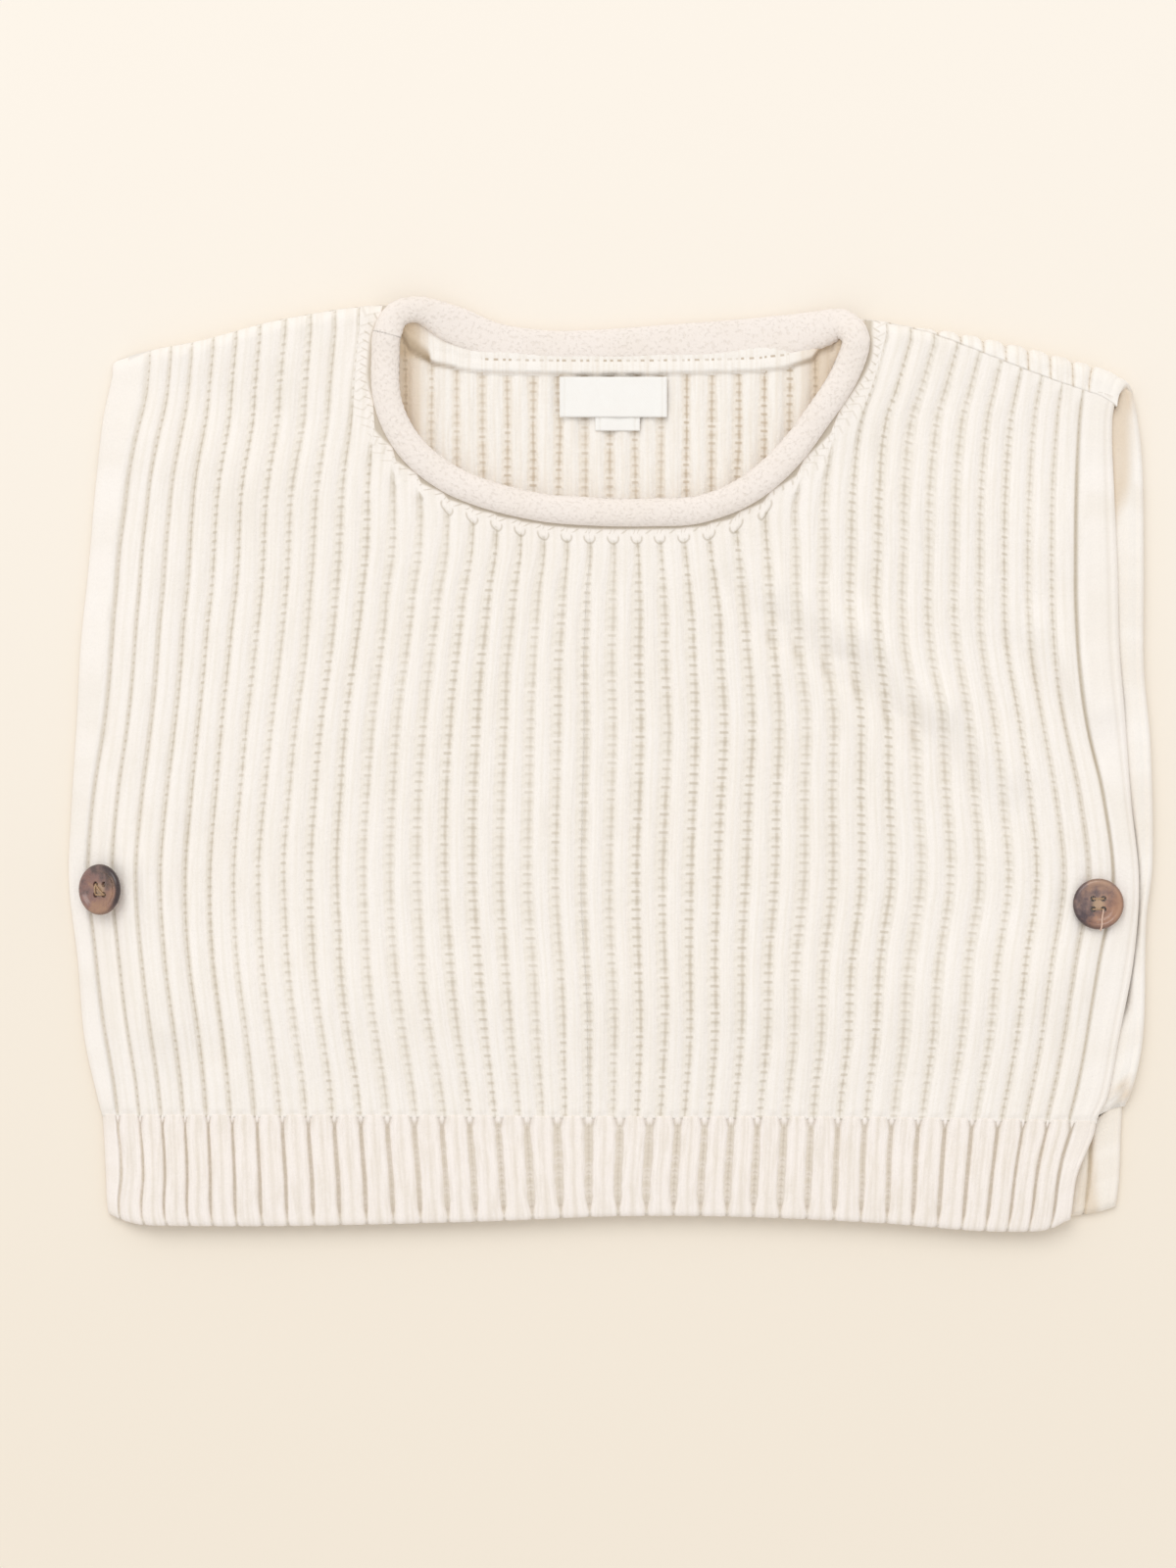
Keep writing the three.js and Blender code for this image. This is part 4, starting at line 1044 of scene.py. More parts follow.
def hem_piece(name, across, edge_line, height, places, rows, shadow=0.0, corner_rise=0.0, ribs_below=False):
    u = []
    for rib in range(HEM_GROOVES + 1):
        plain = rib in (0, HEM_GROOVES)
        u += [rib + s for s in (np.linspace(0, 0.96, 25) if plain else places)]
    u = np.array(u + [HEM_GROOVES + 1.0])[None]
    t = np.array(rows)[:, None]

    def lay(g, t, thickness):
        low = follow(edge_line[:, 0], edge_line[:, 1], across(g, -147.0))
        away = np.abs(g - np.rint(g))
        ribbed = (g > 0.5) & (g < HEM_GROOVES + 0.5)
        bitten = 0.45 * clamp01(1 - away / 0.08) + 0.12 * np.cos(2 * math.pi * (0.5 - away) * 5.2)
        low = low + np.where(ribbed, bitten, 0)
        high = follow(JUNCTION[:, 0], JUNCTION[:, 1], across(g, -132.0)) + 1.0
        high = high + corner_rise * soft_step((g - HEM_GROOVES) / 0.9)
        y = mix(low, high, t)
        x = across(g, y)
        return np.stack([x, y, height(x, y, t) + thickness], -1), high - 1.0 - y, y - low

    flat_points, up, above = lay(u, t, 0.0)
    x = flat_points[..., 0]
    y = flat_points[..., 1]
    opening = hem_opening(x, up, above)
    opening = opening * (1 + 0.14 * spread(501, np.rint(u) * 3.1, up, 1.0, 14.0))
    left_width = across(1.0, y) - across(0.0, y)
    right_width = across(HEM_GROOVES + 1.0, y) - across(float(HEM_GROOVES), y)
    g = laid_panel(u, opening, HEM_GROOVES, HEM_PITCH / left_width, HEM_PITCH / right_width)
    course = above / 2.1 + 0 * u
    rise = hem_relief(u, opening, up, above)
    left = left_band_relief(clamp01(u))
    right = right_band_relief(clamp01(u - HEM_GROOVES))
    rise = np.where(u < 0.75, left, np.where(u > HEM_GROOVES + 0.25, right, rise))
    rise = rise * mix(0.93, 1, soft_step(up / 1.6))
    from_side = np.minimum(u * left_width, (HEM_GROOVES + 1 - u) * right_width)
    thickness = (CLOTH + HEM_RIB * rise) * lip(from_side, 1.5) * lip(above, 1.7, 0.5)
    thickness = thickness * mix(0.7, 1, soft_step((up + 1.2) / 0.7))
    points, up, above = lay(g, t, thickness)
    in_groove = (np.abs(u - np.rint(u)) < 0.25) & (u > 0.5) & (u < HEM_GROOVES + 0.5)
    # Painted shade: grooves are darkened in colour, narrow ones most, thin dark lines mark the rims of the
    # forks at the top, and on the back hem the ribs left of its last groove get painted warm shadow.
    tight = 1 - soft_step((opening - 0.05) / 0.07)
    side_groove = mix(0.1, 1, soft_step((x + 157) / 6))
    shade = (0.12 + 0.34 * tight) * in_groove * soft_step((above - 1.5) / 3) * side_groove
    shade = shade * soft_step((up - 0.8) / 2.4)
    p = np.abs(u - np.rint(u)) * 4
    fork = np.exp(-(((p - 0.85) / 0.3) ** 2)) * soft_step((3.2 - up) / 1.6)
    fork = fork * (u > 0.5) * (u < HEM_GROOVES + 0.5)
    shade = np.maximum(shade, mix(0.2, 0.42, soft_step((x + 120) / 50)) * fork)
    warm = shadow * soft_step((160.8 - x) / 2.0) * mix(0.45, 1, soft_step((x - 155.5) / 1.5)) * (x > 140)
    far = np.maximum(3.0 + 0.9 * up, 0)
    fields = face_fields(plain_in_bands(u, HEM_GROOVES), course, rise, shade, warm, (6.0, far, 0.0))
    upper = Face(points, u[0], t[:, 0], fields)
    g_low = np.arange(0, HEM_GROOVES + 2.0)[None]
    t_low = np.linspace(0, 1, 10)[:, None]
    hollow = 0.0 * g_low * t_low
    if ribs_below:
        steps = (0, 0.05, 0.12, 0.3, 0.5, 0.7, 0.88, 0.95)
        places = [rib + s for rib in range(HEM_GROOVES + 1) for s in steps]
        g_low = np.array(places + [HEM_GROOVES + 1.0])[None]
        away = np.abs(g_low - np.rint(g_low))
        ribbed = (g_low > 0.5) & (g_low < HEM_GROOVES + 0.5)
        hollow = 0.03 + 0.9 * np.exp(-((away / 0.06) ** 2)) * ribbed + 0.0 * t_low
    low, _, above_low = lay(g_low, t_low, hollow)
    plain = np.full(low.shape[:2], 0.7)
    # The underside's grooves are darkened with painted shade.
    fields = face_fields(g_low + 0.5, above_low / 2.1, plain, 0.4 * hollow)
    lower = Face(low, g_low[0], t_low[:, 0], fields)
    return cloth(name, upper, lower)


def front_hem_height(x, y, t):
    left_edge = follow(HEM_ROWS[:, 0], HEM_ROWS[:, 1], y)
    under = front_underside(x, y, left_edge)
    return mix(np.minimum(FRONT_FLOOR, under), under, clamp01(t / 0.55))


# ---- rolled neckband -----------------------------------------------------------------

def evenly(line, count, closed):
    """A line's places, equally far apart."""
    loop = np.concatenate([line, line[:1]]) if closed else line
    step = np.linalg.norm(np.diff(loop[:, :3], axis=0), axis=1)
    run = np.concatenate([[0], np.cumsum(step)])
    at = np.linspace(0, run[-1], count, endpoint=not closed)
    return np.stack([np.interp(at, run, loop[:, k]) for k in range(loop.shape[1])], -1), run[-1]


def roll_centres():
    """The band's centre and its half sizes all round: the back's places, then the front's."""
    edge, _ = evenly(through(FRONT_NECK[1:-1], 40), 561, False)
    centres = []
    inward = FRONT_ROLL[1] + 0.5
    for i in range(40, 560, 40):
        along = edge[i + 1] - edge[i - 1]
        along = along / np.linalg.norm(along)
        x = edge[i, 0] - along[1] * inward
        y = edge[i, 1] + along[0] * inward
        centres.append((x, y, *FRONT_ROLL))
    return BACK_ROLL + centres[::-1]


def neck_roll(name):
    line, length = evenly(through(roll_centres(), 40, closed=True), 1120, True)
    tangent = np.roll(line[:, :3], -1, 0) - np.roll(line[:, :3], 1, 0)
    tangent /= np.linalg.norm(tangent, axis=1)[:, None]
    across = np.stack([tangent[:, 1], -tangent[:, 0], 0 * tangent[:, 0]], -1)
    across /= np.linalg.norm(across, axis=1)[:, None]
    up = np.cross(across, tangent)
    sides = 44
    turn = (np.arange(sides) / sides * 2 * math.pi)[None]
    s = (np.arange(len(line)) / len(line) * length)[:, None]
    wale = s / (length / round(length / 2.7))
    row = turn * 13 / (2 * math.pi)
    purl = np.cos(2 * math.pi * (wale + 0.25 * np.cos(math.pi * row))) * np.cos(math.pi * row) ** 2
    soft = spread(61, s, turn * 4.5, 11.0, 5.0)
    at_back = soft_step((line[:, 1] - 131) / 8)[:, None]
    at_back = at_back * soft_step((66 - np.abs(line[:, 0] - 1)) / 14)[:, None]
    lift = mix(0.12, 0.04, at_back) * purl + mix(0.18, 0.1, at_back) * soft
    cosine = np.sign(np.cos(turn)) * np.abs(np.cos(turn)) ** mix(0.95, 0.85, at_back)
    sine = np.sign(np.sin(turn)) * np.abs(np.sin(turn)) ** mix(0.82, 0.45, at_back)
    wide = (line[:, 3][:, None] + lift) * cosine
    tall = (line[:, 4][:, None] + lift) * sine
    points = line[:, None, :3] + across[:, None, :] * wide[..., None] + up[:, None, :] * tall[..., None]
    points[..., 2] = np.maximum(points[..., 2], 0.1)
    rows, columns = points.shape[:2]
    index = np.arange(rows * columns).reshape(rows, columns)
    right = np.roll(index, -1, 1)
    quads = np.stack([index, right, np.roll(right, -1, 0), np.roll(index, -1, 0)], -1).reshape(-1, 4)
    # Painted shade on the roll's lower half, weaker on the back's flat band.
    underside_shade = soft_step((0.45 - sine) / 0.9) * (1 - 0.6 * at_back)
    fields = face_fields(wale, row, 0.8 + 0.9 * lift, 0.08 * underside_shade)
    place = fields.pop("place").reshape(-1, 2)
    fields = {key: values.reshape(-1, *values.shape[2:]) for key, values in fields.items()}
    return mesh_object(name, points.reshape(-1, 3), quads[:, ::-1], np.zeros((0, 3), int), fields, place)


# ---- labels --------------------------------------------------------------------------

def woven_label(name, label, bottom, thick, seed):
    """A folded woven tape, its ends turned under and its face left bare."""
    x = np.linspace(label["left"], label["right"], 90)[None]
    y = np.linspace(label["bottom"], label["top"], 44)[:, None]
    from_end = np.minimum(x - label["left"], label["right"] - x)
    from_side = np.minimum(y - label["bottom"], label["top"] - y)
    round_over = lip(from_end, 0.5, 0.3) * lip(from_side, 0.35, 0.4)
    tacking = 0.12 * np.exp(-(((from_end - 1.6) / 0.35) ** 2))
    wave = 0.14 * np.sin(x / 8.9 * 2 * math.pi + seed) + 0.1 * spread(seed, x, y, 9.0, 8.0)
    upper_z = bottom + thick * round_over - tacking + wave * soft_step(from_end / 4) * 0.6
    lower_z = bottom + 0 * upper_z + np.minimum(0, wave * 0.3)
    grid = np.broadcast_arrays(x, y, upper_z)
    g = x[0]
    t = (y[:, 0] - label["bottom"]) / (label["top"] - label["bottom"])
    flat = 0 * upper_z
    fields = face_fields(x / 0.5 + flat, y / 0.5 + flat, flat + 0.8, tacking * 5 + flat)
    upper = Face(np.stack(grid, -1).copy(), g, t, fields)
    grid = np.broadcast_arrays(x, y, lower_z)
    lower = Face(np.stack(grid, -1).copy(), g, t, fields)
    return cloth(name, upper, lower)


# ---- buttons -------------------------------------------------------------------------

HOLE_RADIUS = 0.95
HOLE_OFFSET = 1.7
BUTTON_PROFILE = [
    (0.0, 0.1), (4.5, 0.02), (6.4, 0.0), (7.4, 0.35), (8.05, 1.0), (8.3, 1.75), (8.1, 2.4),
    (7.6, 2.85), (7.0, 3.0), (6.4, 2.8), (5.8, 2.35), (5.1, 2.0), (4.0, 1.86), (0.0, 1.8),
]


def lathe(profile, turns):
    """A closed turned mesh in its own millimetres."""
    made = bmesh.new()
    ring = []
    for r, z in profile:
        if r < 1e-6:
            ring.append([made.verts.new((0, 0, z))])
        else:
            angles = [k / turns * 2 * math.pi for k in range(turns)]
            ring.append([made.verts.new((r * math.cos(a), r * math.sin(a), z)) for a in angles])
    for low, high in zip(ring, ring[1:]):
        for k in range(turns):
            n = (k + 1) % turns
            if len(low) == 1:
                made.faces.new((low[0], high[n], high[k]))
            elif len(high) == 1:
                made.faces.new((low[k], low[n], high[0]))
            else:
                made.faces.new((low[k], low[n], high[n], high[k]))
    mesh = bpy.data.meshes.new("turned")
    made.to_mesh(mesh)
    made.free()
    return mesh


def button_piece(name, node, lean):
    smooth = through([(r, 0.0, z) for r, z in BUTTON_PROFILE], 3)
    disc = bpy.data.objects.new(name, lathe([(max(p[0], 0), p[2]) for p in smooth], 96))
    bpy.context.scene.collection.objects.link(disc)
    drills = bmesh.new()
    for sx in (-1, 1):
        for sy in (-1, 1):
            drill = bmesh.ops.create_cone(
                drills, cap_ends=True, segments=28, radius1=HOLE_RADIUS, radius2=HOLE_RADIUS, depth=12)
            bmesh.ops.translate(drills, verts=drill["verts"], vec=(sx * HOLE_OFFSET, sy * HOLE_OFFSET, 0))
    drill_mesh = bpy.data.meshes.new("drills")
    drills.to_mesh(drill_mesh)
    drills.free()
    drill_object = bpy.data.objects.new("drills", drill_mesh)
    bpy.context.scene.collection.objects.link(drill_object)
    cut = disc.modifiers.new("holes", "BOOLEAN")
    cut.operation = "DIFFERENCE"
    cut.object = drill_object
    cut.solver = "EXACT"
    bevel = disc.modifiers.new("soft", "BEVEL")
    bevel.width = 0.12
    bevel.segments = 2
    bevel.limit_method = "ANGLE"
    bevel.angle_limit = math.radians(50)
    done = bpy.data.meshes.new_from_object(disc.evaluated_get(bpy.context.evaluated_depsgraph_get()))
    disc.modifiers.clear()
    disc.data = done
    bpy.data.objects.remove(drill_object)
    low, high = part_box(node)
    rim_low = min(
        r * math.sin(lean) * side + z * math.cos(lean)
        for r, z in BUTTON_PROFILE for side in (-1, 1))
    centre = (low + high) / 2
    shift = 3.2 * math.sin(lean) * 0.001
    co = np.empty(len(done.vertices) * 3)
    done.vertices.foreach_get("co", co)
    co = co.reshape(-1, 3) * 0.001
    x = co[:, 0] * math.cos(lean) + co[:, 2] * math.sin(lean)
    z = co[:, 2] * math.cos(lean) - co[:, 0] * math.sin(lean)
    seat = Vector((centre.x - shift, centre.y, low.z - rim_low * 0.001))
    placed = np.stack([x + seat.x, co[:, 1] + seat.y, z + seat.z], -1)
    local = done.attributes.new("local", "FLOAT_VECTOR", "POINT")
    local.data.foreach_set("vector", (co * 1000).astype(np.float32).ravel())
    done.vertices.foreach_set("co", placed.astype(np.float32).ravel())
    done.update()
    done.shade_smooth()
    return disc, seat


def over_the_disc(ax, ay, bx, by, height):
    """A stitch's way up through one hole of a button and down through another."""
    return [(ax, ay, 0.3), (ax, ay, 1.5), (mix(ax, bx, 0.2), mix(ay, by, 0.2), height),
            (mix(ax, bx, 0.5), mix(ay, by, 0.5), height + 0.12),
            (mix(ax, bx, 0.8), mix(ay, by, 0.8), height), (bx, by, 1.5), (bx, by, 0.3)]


def thread_piece(name, seat, lean, paths, radius):
    curve = bpy.data.curves.new(name, "CURVE")
    curve.dimensions = "3D"
    curve.bevel_depth = radius * 0.001
    curve.bevel_resolution = 3
    curve.resolution_u = 6
    for path in paths:
        spline = curve.splines.new("BEZIER")
        spline.bezier_points.add(len(path) - 1)
        for point, (x, y, z) in zip(spline.bezier_points, path):
            px = x * math.cos(lean) + z * math.sin(lean)
            pz = z * math.cos(lean) - x * math.sin(lean)
            point.co = seat + Vector((px, y, pz)) * 0.001
            point.handle_left_type = "AUTO"
            point.handle_right_type = "AUTO"
    piece = bpy.data.objects.new(name, curve)
    bpy.context.scene.collection.objects.link(piece)
    return piece


# ---- finishes ------------------------------------------------------------------------

class Wire:
    """A shader value that Python's operators work on."""

    def __init__(self, finish, socket):
        self.finish = finish
        self.socket = socket

    def math(self, operation, a, b):
        return self.finish.node("ShaderNodeMath", {"operation": operation}, {0: a, 1: b})

    def __add__(self, other):
        return self.math("ADD", self, other)

    def __sub__(self, other):
        return self.math("SUBTRACT", self, other)

    def __rsub__(self, other):
        return self.math("SUBTRACT", other, self)

    def __mul__(self, other):
        return self.math("MULTIPLY", self, other)

    def __abs__(self):
        return self.finish.one("ABSOLUTE", self)

    __radd__ = __add__
    __rmul__ = __mul__


class Finish:
    """A material and the one way its nodes are made."""

    def __init__(self, name):
        self.material = bpy.data.materials.new(name)
        self.material.use_nodes = True
        self.tree = self.material.node_tree
        self.shader = self.tree.nodes["Principled BSDF"]

    def node(self, kind, settings=None, inputs=None, output=0):
        made = self.tree.nodes.new(kind)
        for key, value in (settings or {}).items():
            if key == "stops":
                ramp = made.color_ramp
                while len(ramp.elements) < len(value):
                    ramp.elements.new(0.5)
                for element, (at, color) in zip(ramp.elements, value):
                    element.position = at
                    element.color = (*color, 1)
            else:
                setattr(made, key, value)
        for key, value in (inputs or {}).items():
            if isinstance(value, Wire):
                self.tree.links.new(value.socket, made.inputs[key])
            else:
                made.inputs[key].default_value = value
        return Wire(self, made.outputs[output])

    def field(self, name, output=2):
        return self.node("ShaderNodeAttribute", {"attribute_name": name}, output=output)

    def place(self):
        return self.node("ShaderNodeTexCoord", output=3)

    def noise(self, where, scale, detail=2.0, rough=0.5):
        return self.node("ShaderNodeTexNoise", {}, {
            "Vector": where, "Scale": scale, "Detail": detail, "Roughness": rough})

    def parts(self, vector):
        split = self.node("ShaderNodeSeparateXYZ", {}, {0: vector})
        return [Wire(self, output) for output in split.socket.node.outputs]

    def stitches(self):
        return self.parts(self.node("ShaderNodeUVMap", {"uv_map": "stitches"}))[:2]

    def each(self, a, b):
        """A number from 0 to 1 for every pair of whole numbers."""
        pair = self.node("ShaderNodeCombineXYZ", {}, {0: a, 1: b})
        return self.node("ShaderNodeTexWhiteNoise", {"noise_dimensions": "2D"}, {0: pair})

    def one(self, operation, value):
        return self.node("ShaderNodeMath", {"operation": operation}, {0: value})

    def within(self, value, low, high, to_low=0.0, to_high=1.0):
        return self.node("ShaderNodeMapRange", {"interpolation_type": "SMOOTHSTEP"}, {
            0: value, 1: low, 2: high, 3: to_low, 4: to_high})

    def blend(self, part, a, b):
        a = a if isinstance(a, Wire) else (*a, 1)
        b = b if isinstance(b, Wire) else (*b, 1)
        return self.node("ShaderNodeMix", {"data_type": "RGBA"}, {0: part, 6: a, 7: b}, output=2)

    def feed(self, **sockets):
        for key, value in sockets.items():
            socket = self.shader.inputs[key.replace("_", " ")]
            if isinstance(value, Wire):
                self.tree.links.new(value.socket, socket)
            else:
                socket.default_value = value

    def bump(self, height, depth, normal=None):
        inputs = {"Height": height, "Distance": depth, "Strength": 1.0}
        if normal is not None:
            inputs["Normal"] = normal
        return self.node("ShaderNodeBump", {}, inputs)


def shade(r, g, b):
    """A colour written as it looks on a screen, 0 to 255, as the shader's own numbers."""
    return tuple(
        (c / 255 / 12.92 if c / 255 <= 0.04045 else ((c / 255 + 0.055) / 1.055) ** 2.4)
        for c in (r, g, b)
    )


def cotton_knit(name, crest, groove, deep, ladder=0.5):
    """Soft matt cotton: pale ribs, and in each groove a ladder of stitches and a darker line. The grooves'
    colour, the ladder's gaps, the darker line and a faint line down each rib are painted shade.
    """
    f = Finish(name)
    place = f.place()
    u, course = f.stitches()
    from_groove, far, line_at = f.parts(f.field("near", 1))
    patches = f.noise(place, 38.0, 3.0)
    fibre = f.noise(place, 1500.0, 3.0, 0.65)
    fluff = f.noise(place, 420.0, 2.0)
    number = f.one("ROUND", u)
    run = f.field("run")
    p = (u - number) * 4.0
    step = f.node("ShaderNodeMath", {"operation": "PINGPONG"}, {0: course, 1: 0.5})
    stitch = f.each(number, f.one("ROUND", course))
    wander = (fluff - 0.5) * 0.5
    in_groove = f.within(abs(p) + wander * 0.6, 1.2, 0.85) * f.within(far, 3.4, 5.2)
    dash = f.within(step + wander * 0.1, 0.24, 0.06) * f.within(stitch, 0.0, 1.0, 0.55, 1.0)
    dash = dash * f.within(abs(p - line_at * 0.5) + wander * 0.5, 0.85, 0.45)
    line = f.within(abs(p - line_at + wander * 0.6), 0.46, 0.04)
    middle = f.within(abs(p) + wander * 0.7, 1.62, 2.0)
    streaks = f.noise(f.node("ShaderNodeCombineXYZ", {}, {0: u * 9.0, 1: course * 0.14, 2: 0.0}), 1.0, 2.0)
    past = f.node("ShaderNodeMath", {"operation": "MAXIMUM"}, {0: far - LOOP_MIDDLE, 1: 0.0})
    ring = f.node("ShaderNodeVectorMath", {"operation": "LENGTH"}, {
        0: f.node("ShaderNodeCombineXYZ", {}, {0: from_groove, 1: past})}, output=1)
    ring = abs(ring - LOOP_RADIUS)
    loops = f.within(ring + wander * 0.3, 0.52, 0.1) * f.within(far, 2.2, 3.4)
    loops = loops * f.within(from_groove, 7.0, 5.0)
    chain = f.node("ShaderNodeMath", {"operation": "PINGPONG"}, {
        0: run * (1 / CHAIN_STEP) + abs(far - 3.1) * (1 / 3.4) + wander * 0.1, 1: 0.5})
    chain = f.within(chain, 0.17, 0.05) * f.within(abs(far - 3.1), 2.3, 1.5)
    chain = chain * f.within(from_groove, 7.0, 10.0)
    ticks = f.node("ShaderNodeMath", {"operation": "PINGPONG"}, {
        0: run * (1 / TICK_STEP) + far * 0.3, 1: 0.5})
    ticks = f.within(ticks + wander * 0.2, 0.16, 0.04) * f.within(abs(far - 1.3), 0.9, 0.4)
    pale = f.blend(f.within(streaks, 0.42, 0.72, 0.0, 0.45), crest, groove)
    # Painted shade: a faint darker line down the middle of each rib, in the dip between its two cords.
    pale = f.blend(middle * 0.45, pale, groove)
    pale = f.blend(f.within(patches, 0.35, 0.7, 0.0, 0.12), pale, shade(240, 229, 212))
    # Painted shade: the groove's floor is coloured darker than the ribs.
    floor = f.blend(f.within(stitch, 0.3, 1.0, 0.0, 0.3), groove, crest)
    colour = f.blend(in_groove, pale, floor)
    # Painted warm shade from the warm field: the neck's corners, gaps under edges and hollows.
    colour = f.blend(f.field("warm"), colour, shade(216, 190, 154))
    uneven = f.within(f.each(number, 3.0) * 0.5 + patches, 0.4, 1.1, 0.75, 1.35) * ladder
    # Painted shade in the ladder's gaps between purl bumps, and in the darker line along one side of each
    # groove.
    colour = f.blend(in_groove * dash * uneven, colour, deep)
    colour = f.blend(in_groove * line * f.within(stitch, 0.0, 1.0, 1.0, 0.5) * uneven, colour, deep)
    colour = f.blend(loops * 0.48, colour, deep)
    colour = f.blend(chain * 0.2, colour, deep)
    colour = f.blend(ticks * 0.4, colour, deep)
    # Painted shade along the neck's edge, where the roll meets the body.
    colour = f.blend(f.within(far, 0.9, 0.0, 0.0, 0.75), colour, deep)
    holes = f.node("ShaderNodeMath", {"operation": "PINGPONG"}, {
        0: run * (1 / HOLE_STEP) + wander * 0.2, 1: 0.5})
    holes = f.within(holes, 0.3, 0.16) * f.within(abs(f.field("holes")) + wander * 0.3, 0.55, 0.15)
    holes = holes * f.within(f.each(f.one("ROUND", run * (1 / HOLE_STEP)), 5.0), 0.0, 1.0, 0.3, 0.8)
    colour = f.blend(holes, colour, deep)
    # Painted shade from the shade field.
    colour = f.blend(f.field("shade"), colour, deep)
    colour = f.blend(f.within(fibre, 0.55, 0.8, 0.0, 0.12), colour, shade(222, 210, 192))
    height = fibre * 0.5 + fluff * 0.35 + streaks * 0.2
    f.feed(Base_Color=colour, Roughness=f.within(fibre, 0.3, 0.7, 0.86, 0.98))
    f.feed(Normal=f.bump(height, 0.0004))
    f.feed(Sheen_Weight=0.25, Sheen_Roughness=0.5, Specular_IOR_Level=0.25)
    return f.material


def purl_knit(name):
    """The neckband's reverse stitches: rows of small pale bumps with darker specks between."""
    f = Finish(name)
    place = f.place()
    wale, row = f.stitches()
    fibre = f.noise(place, 1500.0, 3.0, 0.65)
    fluff = f.noise(place, 420.0, 2.0)
    patches = f.noise(place, 60.0, 2.0)
    stretched = f.node("ShaderNodeCombineXYZ", {}, {0: wale * 2.3, 1: row * 2.2, 2: 0.0})
    bumps = f.noise(stretched, 1.0, 1.0)
    specks = f.within(bumps + (fluff - 0.5) * 0.25, 0.52, 0.7)
    colour = f.blend(f.within(patches, 0.35, 0.7, 0.0, 0.3), shade(247, 238, 231), shade(240, 230, 219))
    colour = f.blend(specks * 0.24, colour, shade(214, 201, 186))
    # Painted shade from the shade field: the roll's lower half.
    colour = f.blend(f.field("shade"), colour, shade(176, 156, 132))
    colour = f.blend(f.within(fibre, 0.55, 0.8, 0.0, 0.12), colour, shade(222, 210, 192))
    f.feed(Base_Color=colour, Roughness=f.within(fibre, 0.3, 0.7, 0.86, 0.98))
    f.feed(Normal=f.bump(fibre * 0.5 + fluff * 0.35 - specks * 0.25, 0.0004))
    f.feed(Sheen_Weight=0.25, Sheen_Roughness=0.5, Specular_IOR_Level=0.25)
    return f.material


def woven_tape():
    f = Finish("woven_tape")
    place = f.place()
    u, up = f.stitches()
    weave = f.one("SINE", u * (2 * math.pi)) * f.one("SINE", up * (2 * math.pi))
    cloudy = f.noise(place, 260.0, 2.0)
    colour = f.blend(f.within(cloudy, 0.3, 0.7, 0.0, 0.25), shade(253, 251, 247), shade(249, 245, 239))
    colour = f.blend(f.field("shade") * 0.35, colour, shade(224, 215, 202))
    f.feed(Base_Color=colour, Roughness=0.55)
    f.feed(Normal=f.bump(weave * 0.5 + cloudy * 0.4, 0.00008))
    f.feed(Sheen_Weight=0.15, Specular_IOR_Level=0.4)
    return f.material


def horn_resin(name, seed, slope, stops, warm, part, rim_shade):
    """Polished mottled resin in browns and muted purple, like horn, with painted shade round the rim,
    heaviest to one side.

    slope is how the mottling lightens across and up the disc; rim_shade is how much painted
    shade darkens the rim, and towards which side of the disc.
    """
    f = Finish(name)
    local = f.field("local", output=1)
    moved = f.node("ShaderNodeVectorMath", {"operation": "ADD"}, {0: local, 1: (seed, seed * 0.7, 0)})
    swirl = f.noise(moved, 0.22, 3.0, 0.55)
    veins = f.noise(moved, 0.7, 4.0, 0.6)
    across, up, _ = f.parts(local)
    swirl = swirl + across * slope[0] + up * slope[1]
    base = f.node("ShaderNodeValToRGB", {"stops": stops}, {0: swirl})
    warmer = f.within(veins * 0.5 + across * 0.03 - up * 0.03, 0.2, 0.42, 0.0, part)
    colour = f.blend(warmer, base, warm)
    radius = f.node("ShaderNodeVectorMath", {"operation": "LENGTH"}, {
        0: f.node("ShaderNodeVectorMath", {"operation": "MULTIPLY"}, {0: local, 1: (1, 1, 0)})}, output=1)
    # Painted shade round the rim, heavier towards one side.
    colour = f.blend(f.within(radius, 7.2, 8.2, 0.0, 0.5), colour, shade(70, 48, 44))
    shade_to_one_side = f.within(across * rim_shade[1] + up * rim_shade[2], 2.0, 7.0, 0.0, rim_shade[0])
    colour = f.blend(f.within(radius, 6.8, 7.8) * shade_to_one_side, colour, shade(52, 36, 38))
    colour = f.blend(f.within(radius, 2.8, 1.0, 0.0, 0.75), colour, shade(190, 160, 130))
    f.feed(Base_Color=colour, Roughness=f.within(veins, 0.3, 0.7, 0.22, 0.36))
    f.feed(Normal=f.bump(veins, 0.00008))
    f.feed(Coat_Weight=0.4, Coat_Roughness=0.12, Specular_IOR_Level=0.5)
    return f.material


def sewing_thread(name, pale, dark):
    f = Finish(name)
    place = f.place()
    twist = f.noise(place, 2600.0, 2.0)
    colour = f.blend(twist, pale, dark)
    f.feed(Base_Color=colour, Roughness=0.8)
    f.feed(Normal=f.bump(twist, 0.0001))
    return f.material


def paper_backdrop():
    f = Finish("paper_backdrop")
    place = f.place()
    up = f.parts(place)[1]
    cloudy = f.noise(place, 1.5, 1.0)
    # Darker towards the bottom: painted shade of the lamp's fall-off across the table.
    part = f.within(up, -0.3, 0.3) + (cloudy - 0.5) * 0.05
    colour = f.blend(part, shade(242, 232, 217), shade(249, 242, 232))
    f.feed(Base_Color=colour, Roughness=0.95, Specular_IOR_Level=0.1)
    return f.material


# ---- dressing the sweater ------------------------------------------------------------

CREST = shade(252, 246, 240)
# Dark colour of the ladder's gaps and the neck's stitch marks, and of painted shade in grooves and along
# edges.
DARK_STITCHES_AND_SHADE = shade(190, 177, 156)
body_yarn = cotton_knit("cotton_rib", CREST, shade(241, 234, 224), DARK_STITCHES_AND_SHADE, 0.42)
